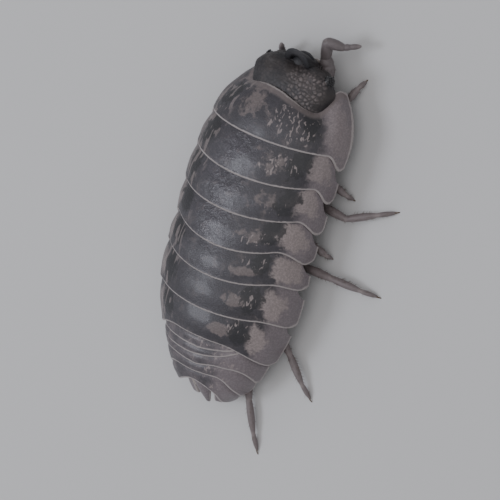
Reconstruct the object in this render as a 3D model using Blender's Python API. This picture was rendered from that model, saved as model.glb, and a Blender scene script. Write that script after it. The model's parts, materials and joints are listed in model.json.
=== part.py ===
"""A pill woodlouse of the nosy kind, life size, standing as it walks.

It faces -Y, its left is +X, and its feet rest on the floor at z = 0.
Sizes below are in millimetres. The body is laid out along a body line that
runs from the front of the first trunk plate (s = 0) to the tail (s about 16).
Across the body, u runs from +1 at the left plate edge over the back to -1
at the right plate edge.
"""

from math import cos, pi, radians, sin

import bmesh
import bpy
import numpy as np
from mathutils import Vector

MM = 0.001

# Where the body line stands.
MIDDLE_S = 6.5
EDGE_HEIGHT = 1.05
NOSE_DROP = 0.30
TAIL_DROP = 0.35
FRONT_BEND = 0.72
TAIL_BEND = 0.10
PLATE_TURN = 0.15
CENTRE_X = -1.20
CENTRE_Y = 0.95

# Trunk plates.
PLATE_THICK = 0.5
PLATE_GAP = 0.34
PLATE_SLANT = 0.3
PLATE_STEP = 0.12
STERNUM_LEVEL = 0.42
ARCH_ROUND = 0.8
CREST_ROUND = 1.6
CORNER_ZONE = 0.14
# For each trunk plate: base line of the hind margin, how far its middle and
# its corners reach behind that, where across the corners begin, half width,
# height of the arch, corner rounding.
TRUNK = (
    (2.00, 0.30, 0.90, 0.70, 3.78, 2.68, 0.32),
    (3.52, 0.70, 1.10, 0.68, 3.88, 2.88, 0.42),
    (5.18, 0.86, 1.05, 0.64, 3.88, 2.96, 0.40),
    (6.45, 1.35, 1.25, 0.52, 3.82, 3.00, 0.36),
    (8.22, 1.12, 0.72, 0.52, 3.93, 2.98, 0.20),
    (10.36, 0.62, 0.54, 0.50, 3.86, 2.90, 0.16),
    (12.34, 0.04, 0.80, 0.25, 3.18, 2.68, 0.22),
)
# The first plate's front margin: middle, dip beside it, horn round the head.
FRONT_MIDDLE = -0.05
FRONT_DIP = 0.42
FRONT_HORN = 1.12
FRONT_WIDTH = 2.30
FRONT_HEIGHT = 2.15

# Tail plates: half width and height at the hind margin, then the margin's
# place at the left edge, left flank, left shoulder, middle, right shoulder,
# right flank and right edge. The first two end under the seventh trunk plate.
TAIL = (
    (2.88, 2.57, (12.80, 12.66, 12.80, 12.90, 12.70, 12.40, 12.70)),
    (2.80, 2.49, (12.90, 13.00, 13.28, 13.32, 13.02, 12.52, 12.75)),
    (2.54, 2.30, (14.35, 13.74, 13.74, 13.82, 13.58, 13.64, 14.46)),
    (2.00, 2.04, (15.15, 14.62, 14.27, 14.27, 14.12, 14.66, 15.42)),
    (1.30, 1.70, (15.45, 15.40, 14.92, 14.76, 14.72, 15.55, 15.72)),
)
TAIL_PLACES = (1.0, 0.66, 0.36, 0.0, -0.30, -0.60, -1.0)
TAIL_STEP = 0.10
TAIL_INSET = 0.30
TAIL_CORNER_INSET = 0.16

# Telson stations: s, half width, top above the edges, thickness.
TELSON = (
    (15.12, 0.44, 1.46, 0.55),
    (15.45, 0.38, 1.20, 0.52),
    (15.82, 0.30, 0.90, 0.48),
    (16.20, 0.12, 0.56, 0.36),
)
# Uropod stations: s, inner side, outer side, top above the edges.
UROPOD = (
    (15.52, 0.60, 0.90, 0.90),
    (15.78, 0.53, 0.86, 0.76),
    (16.06, 0.40, 0.72, 0.56),
)

# Head outlines from back to front: place, half width, top, bottom.
HEAD = (
    (-5.80, 2.00, 2.95, 1.60),
    (-6.50, 2.12, 2.96, 1.42),
    (-6.85, 2.22, 2.92, 1.34),
    (-7.20, 2.28, 2.88, 1.32),
    (-7.50, 2.14, 2.79, 1.34),
    (-7.82, 1.82, 2.62, 1.42),
    (-8.09, 1.38, 2.38, 1.56),
)
HEAD_CENTRE = -0.42
HEAD_TURN = -5.5
HEAD_SIDES = 28
# The nose plate stands up in front of the head behind a deep groove, and
# leans forward from its foot.
NOSE_HALF = 0.72
NOSE_REACH = 0.64
NOSE_FOOT_REACH = 0.30
NOSE_BACK = -8.10
NOSE_THICK = 0.26
NOSE_TOP = 2.78
NOSE_DIP = 0.36
NOSE_FOOT = 1.62
EYE_RADIUS = 0.27
EYE_OUT = 1.88
EYE_SPOT = (-7.86, 2.04)
JOIN_GAP = 0.3

# Legs: foot and knee in plan, one row for each leg from the front.
RIGHT_LEGS = (
    ((-3.20, -8.00), (-2.72, -6.85)),
    ((-4.30, -2.30), (-3.35, -2.75)),
    ((-6.75, -2.60), (-4.40, -1.45)),
    ((-4.00, 0.80), (-3.35, 0.45)),
    ((-7.05, 1.65), (-4.50, 1.55)),
    ((-5.00, 7.90), (-3.40, 5.95)),
    ((-2.90, 11.60), (-1.80, 9.00)),
)
LEFT_LEGS = (
    ((2.60, -6.20), (2.55, -5.70)),
    ((3.90, -4.00), (3.30, -3.70)),
    ((4.60, -0.80), (3.50, -1.20)),
    ((4.70, 1.60), (3.60, 0.90)),
    ((4.60, 2.70), (3.50, 2.40)),
    ((4.30, 6.60), (3.20, 5.30)),
    ((2.20, 9.00), (2.05, 7.60)),
)
ROOT_OUT = 0.60
BASIS_IN = 0.33
LEG_RADII = (0.34, 0.29, 0.27, 0.26, 0.25, 0.17, 0.09)
KNEE_HEIGHTS = (1.36, 0.72, 0.60, 0.40)

# Right and left feeler: joints in plan with their height.
RIGHT_FEELER = (
    (-1.59, -7.85, 0.95),
    (-1.33, -8.50, 1.15),
    (-1.45, -9.24, 1.62),
    (-2.14, -9.32, 1.25),
    (-2.87, -9.57, 0.95),
)
LEFT_FEELER = (
    (0.84, -7.70, 0.78),
    (1.12, -7.54, 0.60),
    (1.43, -7.66, 0.50),
    (1.34, -8.00, 0.72),
    (1.23, -8.41, 1.15),
)
FEELER_RADII = (0.30, 0.30, 0.27, 0.25, 0.12)

COLOURS = {
    "shell": ((0.055, 0.056, 0.062), 0.38),
    "head": ((0.045, 0.042, 0.042), 0.45),
    "eye": ((0.006, 0.006, 0.007), 0.2),
    "limb": ((0.16, 0.125, 0.10), 0.5),
    "under": ((0.30, 0.25, 0.20), 0.55),
}


def clear_scene():
    for obj in list(bpy.data.objects):
        bpy.data.objects.remove(obj, do_unlink=True)


def material(slot):
    """One Principled material for each kind of surface."""
    found = bpy.data.materials.get(slot)
    if found:
        return found
    colour, rough = COLOURS[slot]
    made = bpy.data.materials.new(slot)
    made.use_nodes = True
    shader = made.node_tree.nodes["Principled BSDF"]
    shader.inputs["Base Color"].default_value = (*colour, 1)
    shader.inputs["Roughness"].default_value = rough
    shader.inputs["Metallic"].default_value = 0
    return made


def smooth(low, high, value):
    t = np.clip((value - low) / (high - low), 0, 1)
    return t * t * (3 - 2 * t)


def line_point(s):
    """The body line at the level of the plate edges."""
    drop = NOSE_DROP * max(0, (3.0 - s) / 4.0) ** 2
    drop += TAIL_DROP * max(0, (s - 9.0) / 7.0) ** 2
    x = FRONT_BEND * (smooth(-1.5, 6, s) - 0.66)
    x -= TAIL_BEND * smooth(8, 16, s)
    return Vector((x, s - MIDDLE_S, EDGE_HEIGHT - drop))


def line_frame(s):
    """Point, left direction and up direction of the body line."""
    step = 0.05
    along = line_point(s + step) - line_point(s - step)
    along.x *= PLATE_TURN
    along.normalize()
    left = along.cross(Vector((0, 0, 1))).normalized()
    return line_point(s), left, left.cross(along)


def on_body(s, x, z):
    """A point beside and above the body line."""
    point, left, up = line_frame(s)
    return point + left * x + up * z


def arch(u, half, height):
    """The outline of the back across the body: a tall rounded arch."""
    phi = abs(u) * pi / 2
    side = 1 if u > 0 else -1
    return side * half * sin(phi), height * max(cos(phi), 0) ** ARCH_ROUND


def columns(count):
    """Places across the body, closer together towards the plate edges."""
    return [sin(pi / 2 * (1 - 2 * i / (count - 1))) for i in range(count)]


def corner_pull(u, size):
    """How far a rounded corner draws a margin in, at this place across."""
    q = min(max((abs(u) - 1 + CORNER_ZONE) / CORNER_ZONE, 0), 1)
    return size * (1 - (1 - q * q) ** 0.5)


def hind_margin(row, u):
    """Where the hind margin of a trunk plate runs."""
    line, crest, corner, start = row[:4]
    bow = crest * (1 - u * u) ** CREST_ROUND
    return line + bow + corner * smooth(start, 1, abs(u))


def first_margin(u):
    """The front margin of the first plate, which holds the head."""
    dip = FRONT_DIP * smooth(0, 0.45, abs(u))
    horn = FRONT_HORN * smooth(0.5, 0.88, abs(u))
    return FRONT_MIDDLE + dip - horn


def block_mesh(outer, inner):
    """A closed block between two grids of points of the same size."""
    rows, cols = len(outer), len(outer[0])
    bm = bmesh.new()
    top = [[bm.verts.new(p) for p in row] for row in outer]
    low = [[bm.verts.new(p) for p in row] for row in inner]
    for i in range(rows - 1):
        for j in range(cols - 1):
            face_pair(bm, top, i, j, False)
            face_pair(bm, low, i, j, True)
        strip(bm, top[i][0], top[i + 1][0], low[i + 1][0], low[i][0])
        strip(bm, top[i + 1][-1], top[i][-1], low[i][-1], low[i + 1][-1])
    for j in range(cols - 1):
        strip(bm, top[0][j + 1], top[0][j], low[0][j], low[0][j + 1])
        strip(bm, top[-1][j], top[-1][j + 1], low[-1][j + 1], low[-1][j])
    return bm


def face_pair(bm, grid, i, j, turned):
    """Two triangles of a grid, split alike on both faces of the block."""
    a, b = grid[i][j], grid[i][j + 1]
    c, d = grid[i + 1][j + 1], grid[i + 1][j]
    for corners in ((a, b, c), (a, c, d)):
        bm.faces.new(corners[::-1] if turned else corners)


def strip(bm, a, b, c, d):
    bm.faces.new((a, b, c))
    bm.faces.new((a, c, d))


def add_object(name, bm, slot):
    """Makes the mesh an object, faces outward, in metres, about the centre."""
    bmesh.ops.recalc_face_normals(bm, faces=bm.faces)
    if bm.calc_volume(signed=True) < 0:
        bmesh.ops.reverse_faces(bm, faces=bm.faces)
    for vert in bm.verts:
        vert.co = (vert.co - Vector((CENTRE_X, CENTRE_Y, 0))) * MM
    mesh = bpy.data.meshes.new(name)
    bm.to_mesh(mesh)
    bm.free()
    mesh.materials.append(material(slot))
    obj = bpy.data.objects.new(name, mesh)
    bpy.context.scene.collection.objects.link(obj)
    mesh.shade_smooth()
    mesh.set_sharp_from_angle(angle=radians(35))
    return obj


def plate_points(s, u, half, height):
    """One outer point of a plate and the inner point under it."""
    x, z = arch(u, half, height)
    outer = on_body(s, x, z)
    x, z = arch(u, half - PLATE_THICK, height - PLATE_THICK)
    level = STERNUM_LEVEL * height
    inner = on_body(s - PLATE_SLANT, x, min(z, level))
    return outer, inner


def plate_grid(front, hind, size, rows, cols):
    """Outer and inner points of one plate between its two margins."""
    outer, inner = [], []
    for i in range(rows):
        t = i / (rows - 1)
        half, height = size(t)
        pairs = []
        for u in columns(cols):
            s = front(u) + (hind(u) - front(u)) * t
            pairs.append(plate_points(s, u, half, height))
        outer.append([pair[0] for pair in pairs])
        inner.append([pair[1] for pair in pairs])
    return outer, inner


def add_first_plate():
    """The first trunk plate narrows forward round the head."""
    row = TRUNK[0]

    def size(t):
        spread = 1 - (1 - t) ** 2.3
        rise = 1 - (1 - t) ** 2
        half = FRONT_WIDTH + (row[4] - FRONT_WIDTH) * spread
        return half, FRONT_HEIGHT + (row[5] - FRONT_HEIGHT) * rise

    def hind(u):
        return hind_margin(row, u) - corner_pull(u, row[6])

    grids = plate_grid(first_margin, hind, size, 7, 29)
    add_object("pereonite_1", block_mesh(*grids), "shell")


def add_trunk_plate(index):
    """A trunk plate that starts just behind and under the one before."""
    before, row = TRUNK[index - 1], TRUNK[index]

    def size(t):
        half = (before[4] - PLATE_STEP) * (1 - t) + row[4] * t
        height = (before[5] - PLATE_STEP) * (1 - t) + row[5] * t
        swell = 0.05 * sin(pi * t)
        return half + swell, height + swell

    def front(u):
        return hind_margin(before, u) + PLATE_GAP + corner_pull(u, 0.22)

    def hind(u):
        return hind_margin(row, u) - corner_pull(u, row[6])

    grids = plate_grid(front, hind, size, 5, 29)
    add_object(f"pereonite_{index + 1}", block_mesh(*grids), "shell")


def tail_margin(margin, u):
    """Where the hind margin of a tail plate runs at this place across."""
    for i, near in enumerate(TAIL_PLACES[1:]):
        if u >= near:
            share = smooth(near, TAIL_PLACES[i], u)
            return margin[i + 1] * (1 - share) + margin[i] * share
    return margin[-1]


def tail_rows(u):
    """Places, half widths and heights down the tail, stepped at each plate."""
    before = TRUNK[-1]
    start = hind_margin(before, u) + PLATE_GAP
    inset = TAIL_INSET + TAIL_CORNER_INSET * smooth(0.8, 1, abs(u))
    rows = [(start, before[4] - inset, before[5] - PLATE_STEP)]
    for half, height, margin in TAIL:
        reach = max(tail_margin(margin, u), rows[-1][0] + 0.03)
        rows.append((reach, half, height))
        if margin is not TAIL[-1][2]:
            rows.append((reach + 0.03, half - TAIL_STEP, height - TAIL_STEP))
    return rows


def add_tail():
    """The five tail plates as one node, each a raised step over the next."""
    across = columns(23)
    runs = [tail_rows(u) for u in across]
    outer, inner = [], []
    for i in range(len(runs[0])):
        pairs = []
        for u, run in zip(across, runs):
            pairs.append(plate_points(run[i][0], u, run[i][1], run[i][2]))
        outer.append([pair[0] for pair in pairs])
        inner.append([pair[1] for pair in pairs])
    add_object("pleon", block_mesh(outer, inner), "shell")


def add_telson():
    """The short blunt triangle that ends the back."""
    outer, inner = [], []
    for s, half, top, thick in TELSON:
        level = [(half * v, top * (1 - 0.22 * v * v)) for v in (1, 0.5, 0, -0.5, -1)]
        outer.append([on_body(s, x, z) for x, z in level])
        inner.append([on_body(s, x, z - thick) for x, z in level])
    add_object("telson", block_mesh(outer, inner), "shell")


def ring(centre, axis, radius, sides):
    """Points of a circle about an axis."""
    across = axis.orthogonal().normalized()
    other = axis.cross(across).normalized()
    turn = [2 * pi * i / sides for i in range(sides)]
    return [centre + (across * cos(a) + other * sin(a)) * radius for a in turn]


def article(start, end, first, middle, last, sides):
    """One article of a limb: a spindle with low domed ends."""
    axis = (end - start).normalized()
    levels = (
        ring(start, axis, first, sides),
        ring((start + end) / 2, axis, middle, sides),
        ring(end, axis, last, sides),
    )
    return loft(levels, start - axis * first * 0.6, end + axis * last * 0.6)


def loft(levels, first_tip=None, last_tip=None):
    """A closed skin over rings of points, each end domed or flat."""
    bm = bmesh.new()
    rings = [[bm.verts.new(p) for p in level] for level in levels]
    count = len(rings[0])
    for low, high in zip(rings, rings[1:]):
        for i in range(count):
            k = (i + 1) % count
            strip(bm, low[i], low[k], high[k], high[i])
    close_end(bm, rings[0][::-1], first_tip)
    close_end(bm, rings[-1], last_tip)
    return bm


def close_end(bm, loop, tip):
    if tip is None:
        bmesh.ops.triangulate(bm, faces=[bm.faces.new(loop)])
        return
    point = bm.verts.new(tip)
    for i, vert in enumerate(loop):
        bm.faces.new((vert, loop[(i + 1) % len(loop)], point))


def largest_surface(obj):
    """Keeps only the largest closed surface of a joined node."""
    bm = bmesh.new()
    bm.from_mesh(obj.data)
    left = set(bm.verts)
    islands = []
    while left:
        island, edge = set(), [left.pop()]
        while edge:
            vert = edge.pop()
            island.add(vert)
            near = {e.other_vert(vert) for e in vert.link_edges} & left
            left -= near
            edge.extend(near)
        islands.append(island)
    islands.sort(key=island_size)
    spare = [vert for island in islands[:-1] for vert in island]
    bmesh.ops.delete(bm, geom=spare, context="VERTS")
    bm.to_mesh(obj.data)
    bm.free()


def island_size(island):
    spots = np.array([vert.co[:] for vert in island])
    return float(np.prod(spots.max(axis=0) - spots.min(axis=0)))


def join_pieces(name, pieces, slot):
    """Fuses closed pieces into one node with a single union."""
    group = bpy.data.collections.new(name + "_pieces")
    bpy.context.scene.collection.children.link(group)
    body = add_object(name, pieces[0], slot)
    for i, piece in enumerate(pieces[1:]):
        part = add_object(f"{name}_piece_{i}", piece, slot)
        bpy.context.scene.collection.objects.unlink(part)
        group.objects.link(part)
    fuse = body.modifiers.new("join", "BOOLEAN")
    fuse.operation = "UNION"
    fuse.operand_type = "COLLECTION"
    fuse.collection = group
    fuse.solver = "MANIFOLD"
    apply_modifiers(body)
    for part in list(group.objects):
        bpy.data.objects.remove(part, do_unlink=True)
    bpy.data.collections.remove(group)
    largest_surface(body)
    return body


def apply_modifiers(obj):
    """Replaces the object's mesh by what its modifiers make of it."""
    bpy.context.view_layer.update()
    graph = bpy.context.evaluated_depsgraph_get()
    mesh = bpy.data.meshes.new_from_object(obj.evaluated_get(graph))
    obj.modifiers.clear()
    obj.data = mesh


def leg_joints(index, foot, knee):
    """The joints of a leg, from its root under the sternum to the foot."""
    side = 1 if foot[0] > 0 else -1
    row = TRUNK[index]
    start = first_margin(0.5) if index == 0 else hind_margin(TRUNK[index - 1], 0.5)
    s = (start + PLATE_GAP + hind_margin(row, 0.5)) / 2 - PLATE_SLANT
    half = row[4] if index else 3.3
    level = STERNUM_LEVEL * row[5] - JOIN_GAP
    if index == 0:
        level -= 0.15
    low = line_point(knee[1] + MIDDLE_S).z / EDGE_HEIGHT
    root = on_body(s, side * ROOT_OUT * half, level)
    basis = on_body(s, side * BASIS_IN * half, 0)
    basis.z = KNEE_HEIGHTS[0]
    basis.y += 0.12 * (foot[1] - basis.y)
    elbow = Vector((*knee, KNEE_HEIGHTS[2] * low))
    merus = basis.lerp(elbow, 0.5)
    merus.z = KNEE_HEIGHTS[1] * low
    ground = Vector((*foot, 0))
    wrist = elbow.lerp(ground, 0.62)
    wrist.z = KNEE_HEIGHTS[3] * low
    return root, basis, merus, elbow, wrist, ground


def foot_piece(wrist, ground, radius):
    """The last article, which ends in a small flat on the floor."""
    axis = (ground - wrist).normalized()
    down = Vector((0, 0, -1))
    ankle = ground - down * 0.1 - axis * 0.05
    low = ring(ground, down, LEG_RADII[6], 6)
    high = ring(ankle, down, LEG_RADII[6] * 1.3, 6)
    start = ring(wrist, axis, radius, 6)
    bm = bmesh.new()
    tip = wrist - axis * radius * 0.6
    for point in (*start, *high, *low, tip):
        bm.verts.new(point)
    bmesh.ops.convex_hull(bm, input=bm.verts)
    return bm


def add_leg(name, index, foot, knee):
    """One walking leg: root, basis, merus, carpus, propodus and claw."""
    root, basis, merus, elbow, wrist, ground = leg_joints(index, foot, knee)
    r = LEG_RADII
    top = root
    pieces = [
        root_piece(top, basis, r[0], r[1]),
        article(basis, merus, r[1], r[1], r[2], 6),
        article(merus, elbow, r[2], r[2], r[3], 6),
        article(elbow, wrist, r[3], r[4], r[5], 6),
        foot_piece(wrist, ground, r[5] * 1.1),
    ]
    join_pieces(name, pieces, "limb")


def root_piece(top, basis, first, last):
    """The short root with a flat face under the sternum, and the basis."""
    axis = (basis - top).normalized()
    levels = (
        ring(top, Vector((0, 0, -1)), first, 6),
        ring(top.lerp(basis, 0.35), axis, first * 0.95, 6),
        ring(basis, axis, last, 6),
    )
    bm = bmesh.new()
    for level in levels:
        for point in level:
            bm.verts.new(point)
    bm.verts.new(basis + axis * last * 0.6)
    bmesh.ops.convex_hull(bm, input=bm.verts)
    return bm


def add_feeler(name, joints):
    """One feeler: five stout articles and a thin end of two."""
    spots = [Vector(joint) for joint in joints]
    r = FEELER_RADII
    pieces = []
    for i, (a, b) in enumerate(zip(spots, spots[1:])):
        last = r[i + 1] if i + 2 < len(spots) else 0.06
        pieces.append(article(a, b, r[i] * 0.85, r[i], last * 0.95, 8))
    join_pieces(name, pieces, "limb")


def head_place(x, y, z):
    """A point of the head, turned with it about the neck."""
    turn = radians(HEAD_TURN)
    back = y + 6.5
    return Vector((
        HEAD_CENTRE + x * cos(turn) - back * sin(turn),
        -6.5 + x * sin(turn) + back * cos(turn),
        z,
    ))


def neck_limit(point):
    """How far back the head may reach before it meets the first plate."""
    base, left, up = line_frame(FRONT_MIDDLE)
    rel = point - base
    across, rise = rel.dot(left), max(rel.dot(up), 0)
    angle = np.arctan2(abs(across) / FRONT_WIDTH, (rise / FRONT_HEIGHT) ** (1 / ARCH_ROUND))
    u = float(angle) / (pi / 2)
    ray = np.hypot(across / FRONT_WIDTH, rise / FRONT_HEIGHT)
    depth = min(max(1 - ray, 0) * FRONT_HEIGHT, PLATE_THICK)
    lean = PLATE_SLANT * depth / PLATE_THICK
    return first_margin(u) - MIDDLE_S - PLATE_GAP - lean


def head_capsule():
    """The broad head, its back drawn along the first plate's margin."""
    levels = [head_outline(*HEAD[0], scale) for scale in (0.2, 0.5, 0.8)]
    levels += [head_outline(*outline, 1) for outline in HEAD]
    return loft(levels)


def head_outline(y, half, top, low, scale):
    """One outline of the head, or a smaller one on the back of it."""
    level = []
    mid = low + 0.38 * (top - low)
    for i in range(HEAD_SIDES):
        a = 2 * pi * i / HEAD_SIDES
        across = np.sign(cos(a)) * abs(cos(a)) ** 0.8
        rise = np.sign(sin(a)) * abs(sin(a)) ** 0.85
        reach = top - mid if rise > 0 else mid - low
        point = head_place(scale * half * across, y, mid + scale * reach * rise)
        point.y = min(point.y, neck_limit(point) + 0.02 * (y - HEAD[0][0]))
        level.append(point)
    return level


def nose_plate():
    """An upright plate, bowed forward, with its top edge highest midway."""
    outer, inner = [], []
    for i in range(11):
        a = radians(-82 + 164 * i / 10)
        top = NOSE_TOP - NOSE_DIP * (i / 5 - 1) ** 2
        across, ahead = sin(a), cos(a)
        far, near = [], []
        for z, reach in (
            (top, NOSE_REACH),
            (top - 0.3, NOSE_REACH - 0.04),
            (NOSE_FOOT, NOSE_FOOT_REACH),
        ):
            far.append(head_place(NOSE_HALF * across, NOSE_BACK - reach * ahead, z))
            near.append(head_place(
                (NOSE_HALF - NOSE_THICK) * across,
                NOSE_BACK + 0.12 - (reach - NOSE_THICK + 0.12) * ahead,
                z,
            ))
        outer.append(far)
        inner.append(near)
    return block_mesh(outer, inner)


def nose_root():
    """The solid foot of the nose plate, below the groove."""
    bm = bmesh.new()
    for z, grow in ((2.1, 1), (1.66, 0.85)):
        for i in range(9):
            a = radians(-80 + 160 * i / 8)
            x = NOSE_HALF * 0.92 * grow * sin(a)
            bm.verts.new(head_place(x, NOSE_BACK - 0.34 * grow * cos(a), z))
            bm.verts.new(head_place(x, NOSE_BACK + 0.35, z))
    bmesh.ops.convex_hull(bm, input=bm.verts)
    return bm


def eye_axis(side):
    """Where an eye sits and which way it looks: outward and a little up."""
    y, z = EYE_SPOT
    spot = head_place(side * EYE_OUT, y, z)
    far = head_place(side * (EYE_OUT + 1), y - 0.12, z + 0.25)
    return spot, (far - spot).normalized()


def eye_socket(side):
    """A shallow round recess on the side of the head."""
    spot, out = eye_axis(side)
    start = spot - out * 0.26
    rim = start + out * 1.2
    inner = ring(start, out, EYE_RADIUS + 0.09, 12)
    return loft((inner, ring(rim, out, EYE_RADIUS + 0.12, 12)))


def add_head():
    """The head capsule, its nose plate and a socket for each eye."""
    head = join_pieces("head", [head_capsule(), nose_root(), nose_plate()], "head")
    for side in (1, -1):
        cutter = add_object("socket", eye_socket(side), "head")
        cut = head.modifiers.new("socket", "BOOLEAN")
        cut.operation = "DIFFERENCE"
        cut.object = cutter
        cut.solver = "MANIFOLD"
        apply_modifiers(head)
        bpy.data.objects.remove(cutter, do_unlink=True)
    largest_surface(head)


def add_eye(name, side):
    """A low black dome in its socket on the side of the head."""
    spot, out = eye_axis(side)
    middle = spot - out * 0.12
    levels = (
        ring(middle, out, EYE_RADIUS, 12),
        ring(middle + out * 0.16, out, EYE_RADIUS * 0.9, 12),
        ring(middle + out * 0.26, out, EYE_RADIUS * 0.55, 12),
    )
    add_object(name, loft(levels, None, middle + out * 0.31), "eye")


def add_mouthparts():
    """The two plates that close the mouth under the head."""
    pieces = []
    for side in (1, -1):
        bm = bmesh.new()
        for y, z, far in (
            (-6.95, 0.86, 0.80),
            (-6.95, 0.46, 0.66),
            (-7.95, 0.86, 0.62),
            (-7.95, 0.52, 0.42),
        ):
            bm.verts.new(head_place(-side * 0.05, y, z))
            bm.verts.new(head_place(side * far, y, z))
        bmesh.ops.convex_hull(bm, input=bm.verts)
        pieces.append(bm)
    join_pieces("mouthparts", pieces, "under")


def add_uropod(name, side):
    """The small plate that fills the corner beside the telson."""
    outer, inner = [], []
    for s, near, far, top in UROPOD:
        outer.append([on_body(s, side * far, top - 0.15), on_body(s, side * near, top)])
        inner.append([on_body(s, side * far, top - 0.55), on_body(s, side * near, top - 0.5)])
    add_object(name, block_mesh(outer, inner), "shell")


def main():
    clear_scene()
    add_head()
    add_mouthparts()
    for name, side in (("left", 1), ("right", -1)):
        add_eye("eye_" + name, side)
        add_uropod("uropod_" + name, side)
    add_feeler("antenna_right", RIGHT_FEELER)
    add_feeler("antenna_left", LEFT_FEELER)
    add_first_plate()
    for index in range(1, len(TRUNK)):
        add_trunk_plate(index)
    add_tail()
    add_telson()
    for name, legs in (("left", LEFT_LEGS), ("right", RIGHT_LEGS)):
        for index, (foot, knee) in enumerate(legs):
            add_leg(f"leg_{name}_{index + 1}", index, foot, knee)


main()
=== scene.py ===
"""The finish of the pill woodlouse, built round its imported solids.

Body sizes are in millimetres, laid out as in the solids: the body line runs
from the front of the first back plate (s = 0) to the tail (s about 16), and u
runs from +1 at the left plate edge over the back to -1 at the right edge.
"""

import json
from collections import namedtuple
from math import cos, pi, radians, sin

import bmesh
import bpy
import numpy as np
from mathutils import Matrix, Vector, noise
from mathutils.kdtree import KDTree

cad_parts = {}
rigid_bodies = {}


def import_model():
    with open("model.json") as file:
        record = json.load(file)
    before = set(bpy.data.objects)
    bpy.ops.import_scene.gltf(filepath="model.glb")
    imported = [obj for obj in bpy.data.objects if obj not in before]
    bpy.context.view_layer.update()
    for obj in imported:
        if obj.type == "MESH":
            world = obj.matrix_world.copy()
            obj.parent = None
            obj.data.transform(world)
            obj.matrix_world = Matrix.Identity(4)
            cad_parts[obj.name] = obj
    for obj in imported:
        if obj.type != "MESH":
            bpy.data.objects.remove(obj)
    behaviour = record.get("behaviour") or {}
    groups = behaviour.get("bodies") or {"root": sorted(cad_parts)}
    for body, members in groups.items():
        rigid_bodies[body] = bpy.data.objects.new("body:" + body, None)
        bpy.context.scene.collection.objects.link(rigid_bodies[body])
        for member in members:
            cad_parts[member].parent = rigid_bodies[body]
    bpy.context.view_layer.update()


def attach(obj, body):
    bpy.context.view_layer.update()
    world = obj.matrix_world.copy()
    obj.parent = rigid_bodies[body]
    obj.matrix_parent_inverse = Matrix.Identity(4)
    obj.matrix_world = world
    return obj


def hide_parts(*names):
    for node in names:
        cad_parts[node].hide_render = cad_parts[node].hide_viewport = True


bl_info = {
    "name": "Woodlouse",
    "version": (1, 0, 0),
    "blender": (4, 5, 0),
    "location": "3D View > Sidebar > Woodlouse",
    "description": "Builds a finished pill woodlouse round its solids",
    "category": "Add Mesh",
}

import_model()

MM = 0.001
CENTRE = np.array((-1.20, 0.95, 0.0))

# Where the body line stands.
MIDDLE_S = 6.5
EDGE_HEIGHT = 1.05
NOSE_DROP = 0.30
TAIL_DROP = 0.35
FRONT_BEND = 0.72
TAIL_BEND = 0.10
PLATE_TURN = 0.15

# Shapes that all back plates share.
SHEET_THICK = 0.12
EDGE_ROUND = 0.11
LIP_HEIGHT = 0.006
TAIL_SHEET = 0.08
UNDERLAP = 0.42
PLATE_GAP = 0.34
PLATE_STEP = 0.11
ARCH_ROUND = 0.8
CREST_ROUND = 1.6
CORNER_ZONE = 0.14
FRONT_CORNER = 0.22
STERNUM_LEVEL = 0.42

# For each trunk plate: base line of the hind margin, how far its middle and
# its corners reach behind that, where across the corners begin, half width,
# height of the arch, corner rounding.
Plate = namedtuple("Plate", "line crest corner start half height rounding")
TRUNK = tuple(Plate(*row) for row in (
    (2.00, 0.30, 0.90, 0.70, 3.78, 2.68, 0.32),
    (3.52, 0.70, 1.10, 0.68, 3.88, 2.88, 0.42),
    (5.18, 0.86, 1.05, 0.64, 3.88, 2.96, 0.40),
    (6.45, 1.35, 1.25, 0.52, 3.82, 3.00, 0.36),
    (8.22, 1.12, 0.72, 0.52, 3.93, 2.98, 0.20),
    (10.36, 0.62, 0.54, 0.50, 3.86, 2.90, 0.16),
    (12.34, 0.04, 0.80, 0.25, 3.18, 2.68, 0.22),
))
# The first plate's front margin, as place across and place along the body
# line. The turned head leaves more of the plate bare on the left.
FRONT_LINE = (
    (1.00, -0.75), (0.90, -0.78), (0.78, -0.55), (0.66, -0.18), (0.56, 0.02),
    (0.45, 0.03), (0.21, -0.02), (-0.05, 0.06), (-0.18, 0.18), (-0.32, 0.32),
    (-0.45, 0.42), (-0.56, 0.40), (-0.66, 0.14), (-0.73, -0.34), (-0.80, -0.66),
    (-0.90, -0.78), (-1.00, -0.75),
)
FRONT_WIDTH = 2.30
FRONT_HEIGHT = 2.15
# Tail plates: the hind margin's place along the body line at the left edge,
# left flank, left shoulder, middle, right shoulder, right flank and right
# edge. The sides of the first two lie under the seventh trunk plate.
TAIL = (
    (12.86, 12.78, 12.88, 12.92, 12.70, 12.40, 12.70),
    (13.10, 13.15, 13.34, 13.32, 13.02, 12.52, 12.75),
    (14.35, 13.74, 13.74, 13.82, 13.58, 13.64, 14.46),
    (15.15, 14.68, 14.30, 14.25, 14.18, 14.74, 15.42),
    (15.50, 15.45, 15.20, 14.74, 15.06, 15.66, 15.80),
)
TAIL_PLACES = (1.0, 0.66, 0.36, 0.0, -0.30, -0.60, -1.0)

# The outer surface of the tail: place along the body line, half width, height.
TAIL_ARCH = (
    (12.40, 3.18, 2.67), (12.95, 3.02, 2.58), (13.40, 2.90, 2.48), (14.10, 2.66, 2.28),
    (14.90, 2.20, 2.00), (15.60, 1.55, 1.62), (16.10, 1.12, 1.36),
)
# Rows and columns of points in the plates.
FIRST_GRID = (90, 261)
TRUNK_GRID = (64, 241)
TAIL_GRID = (40, 181)

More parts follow.
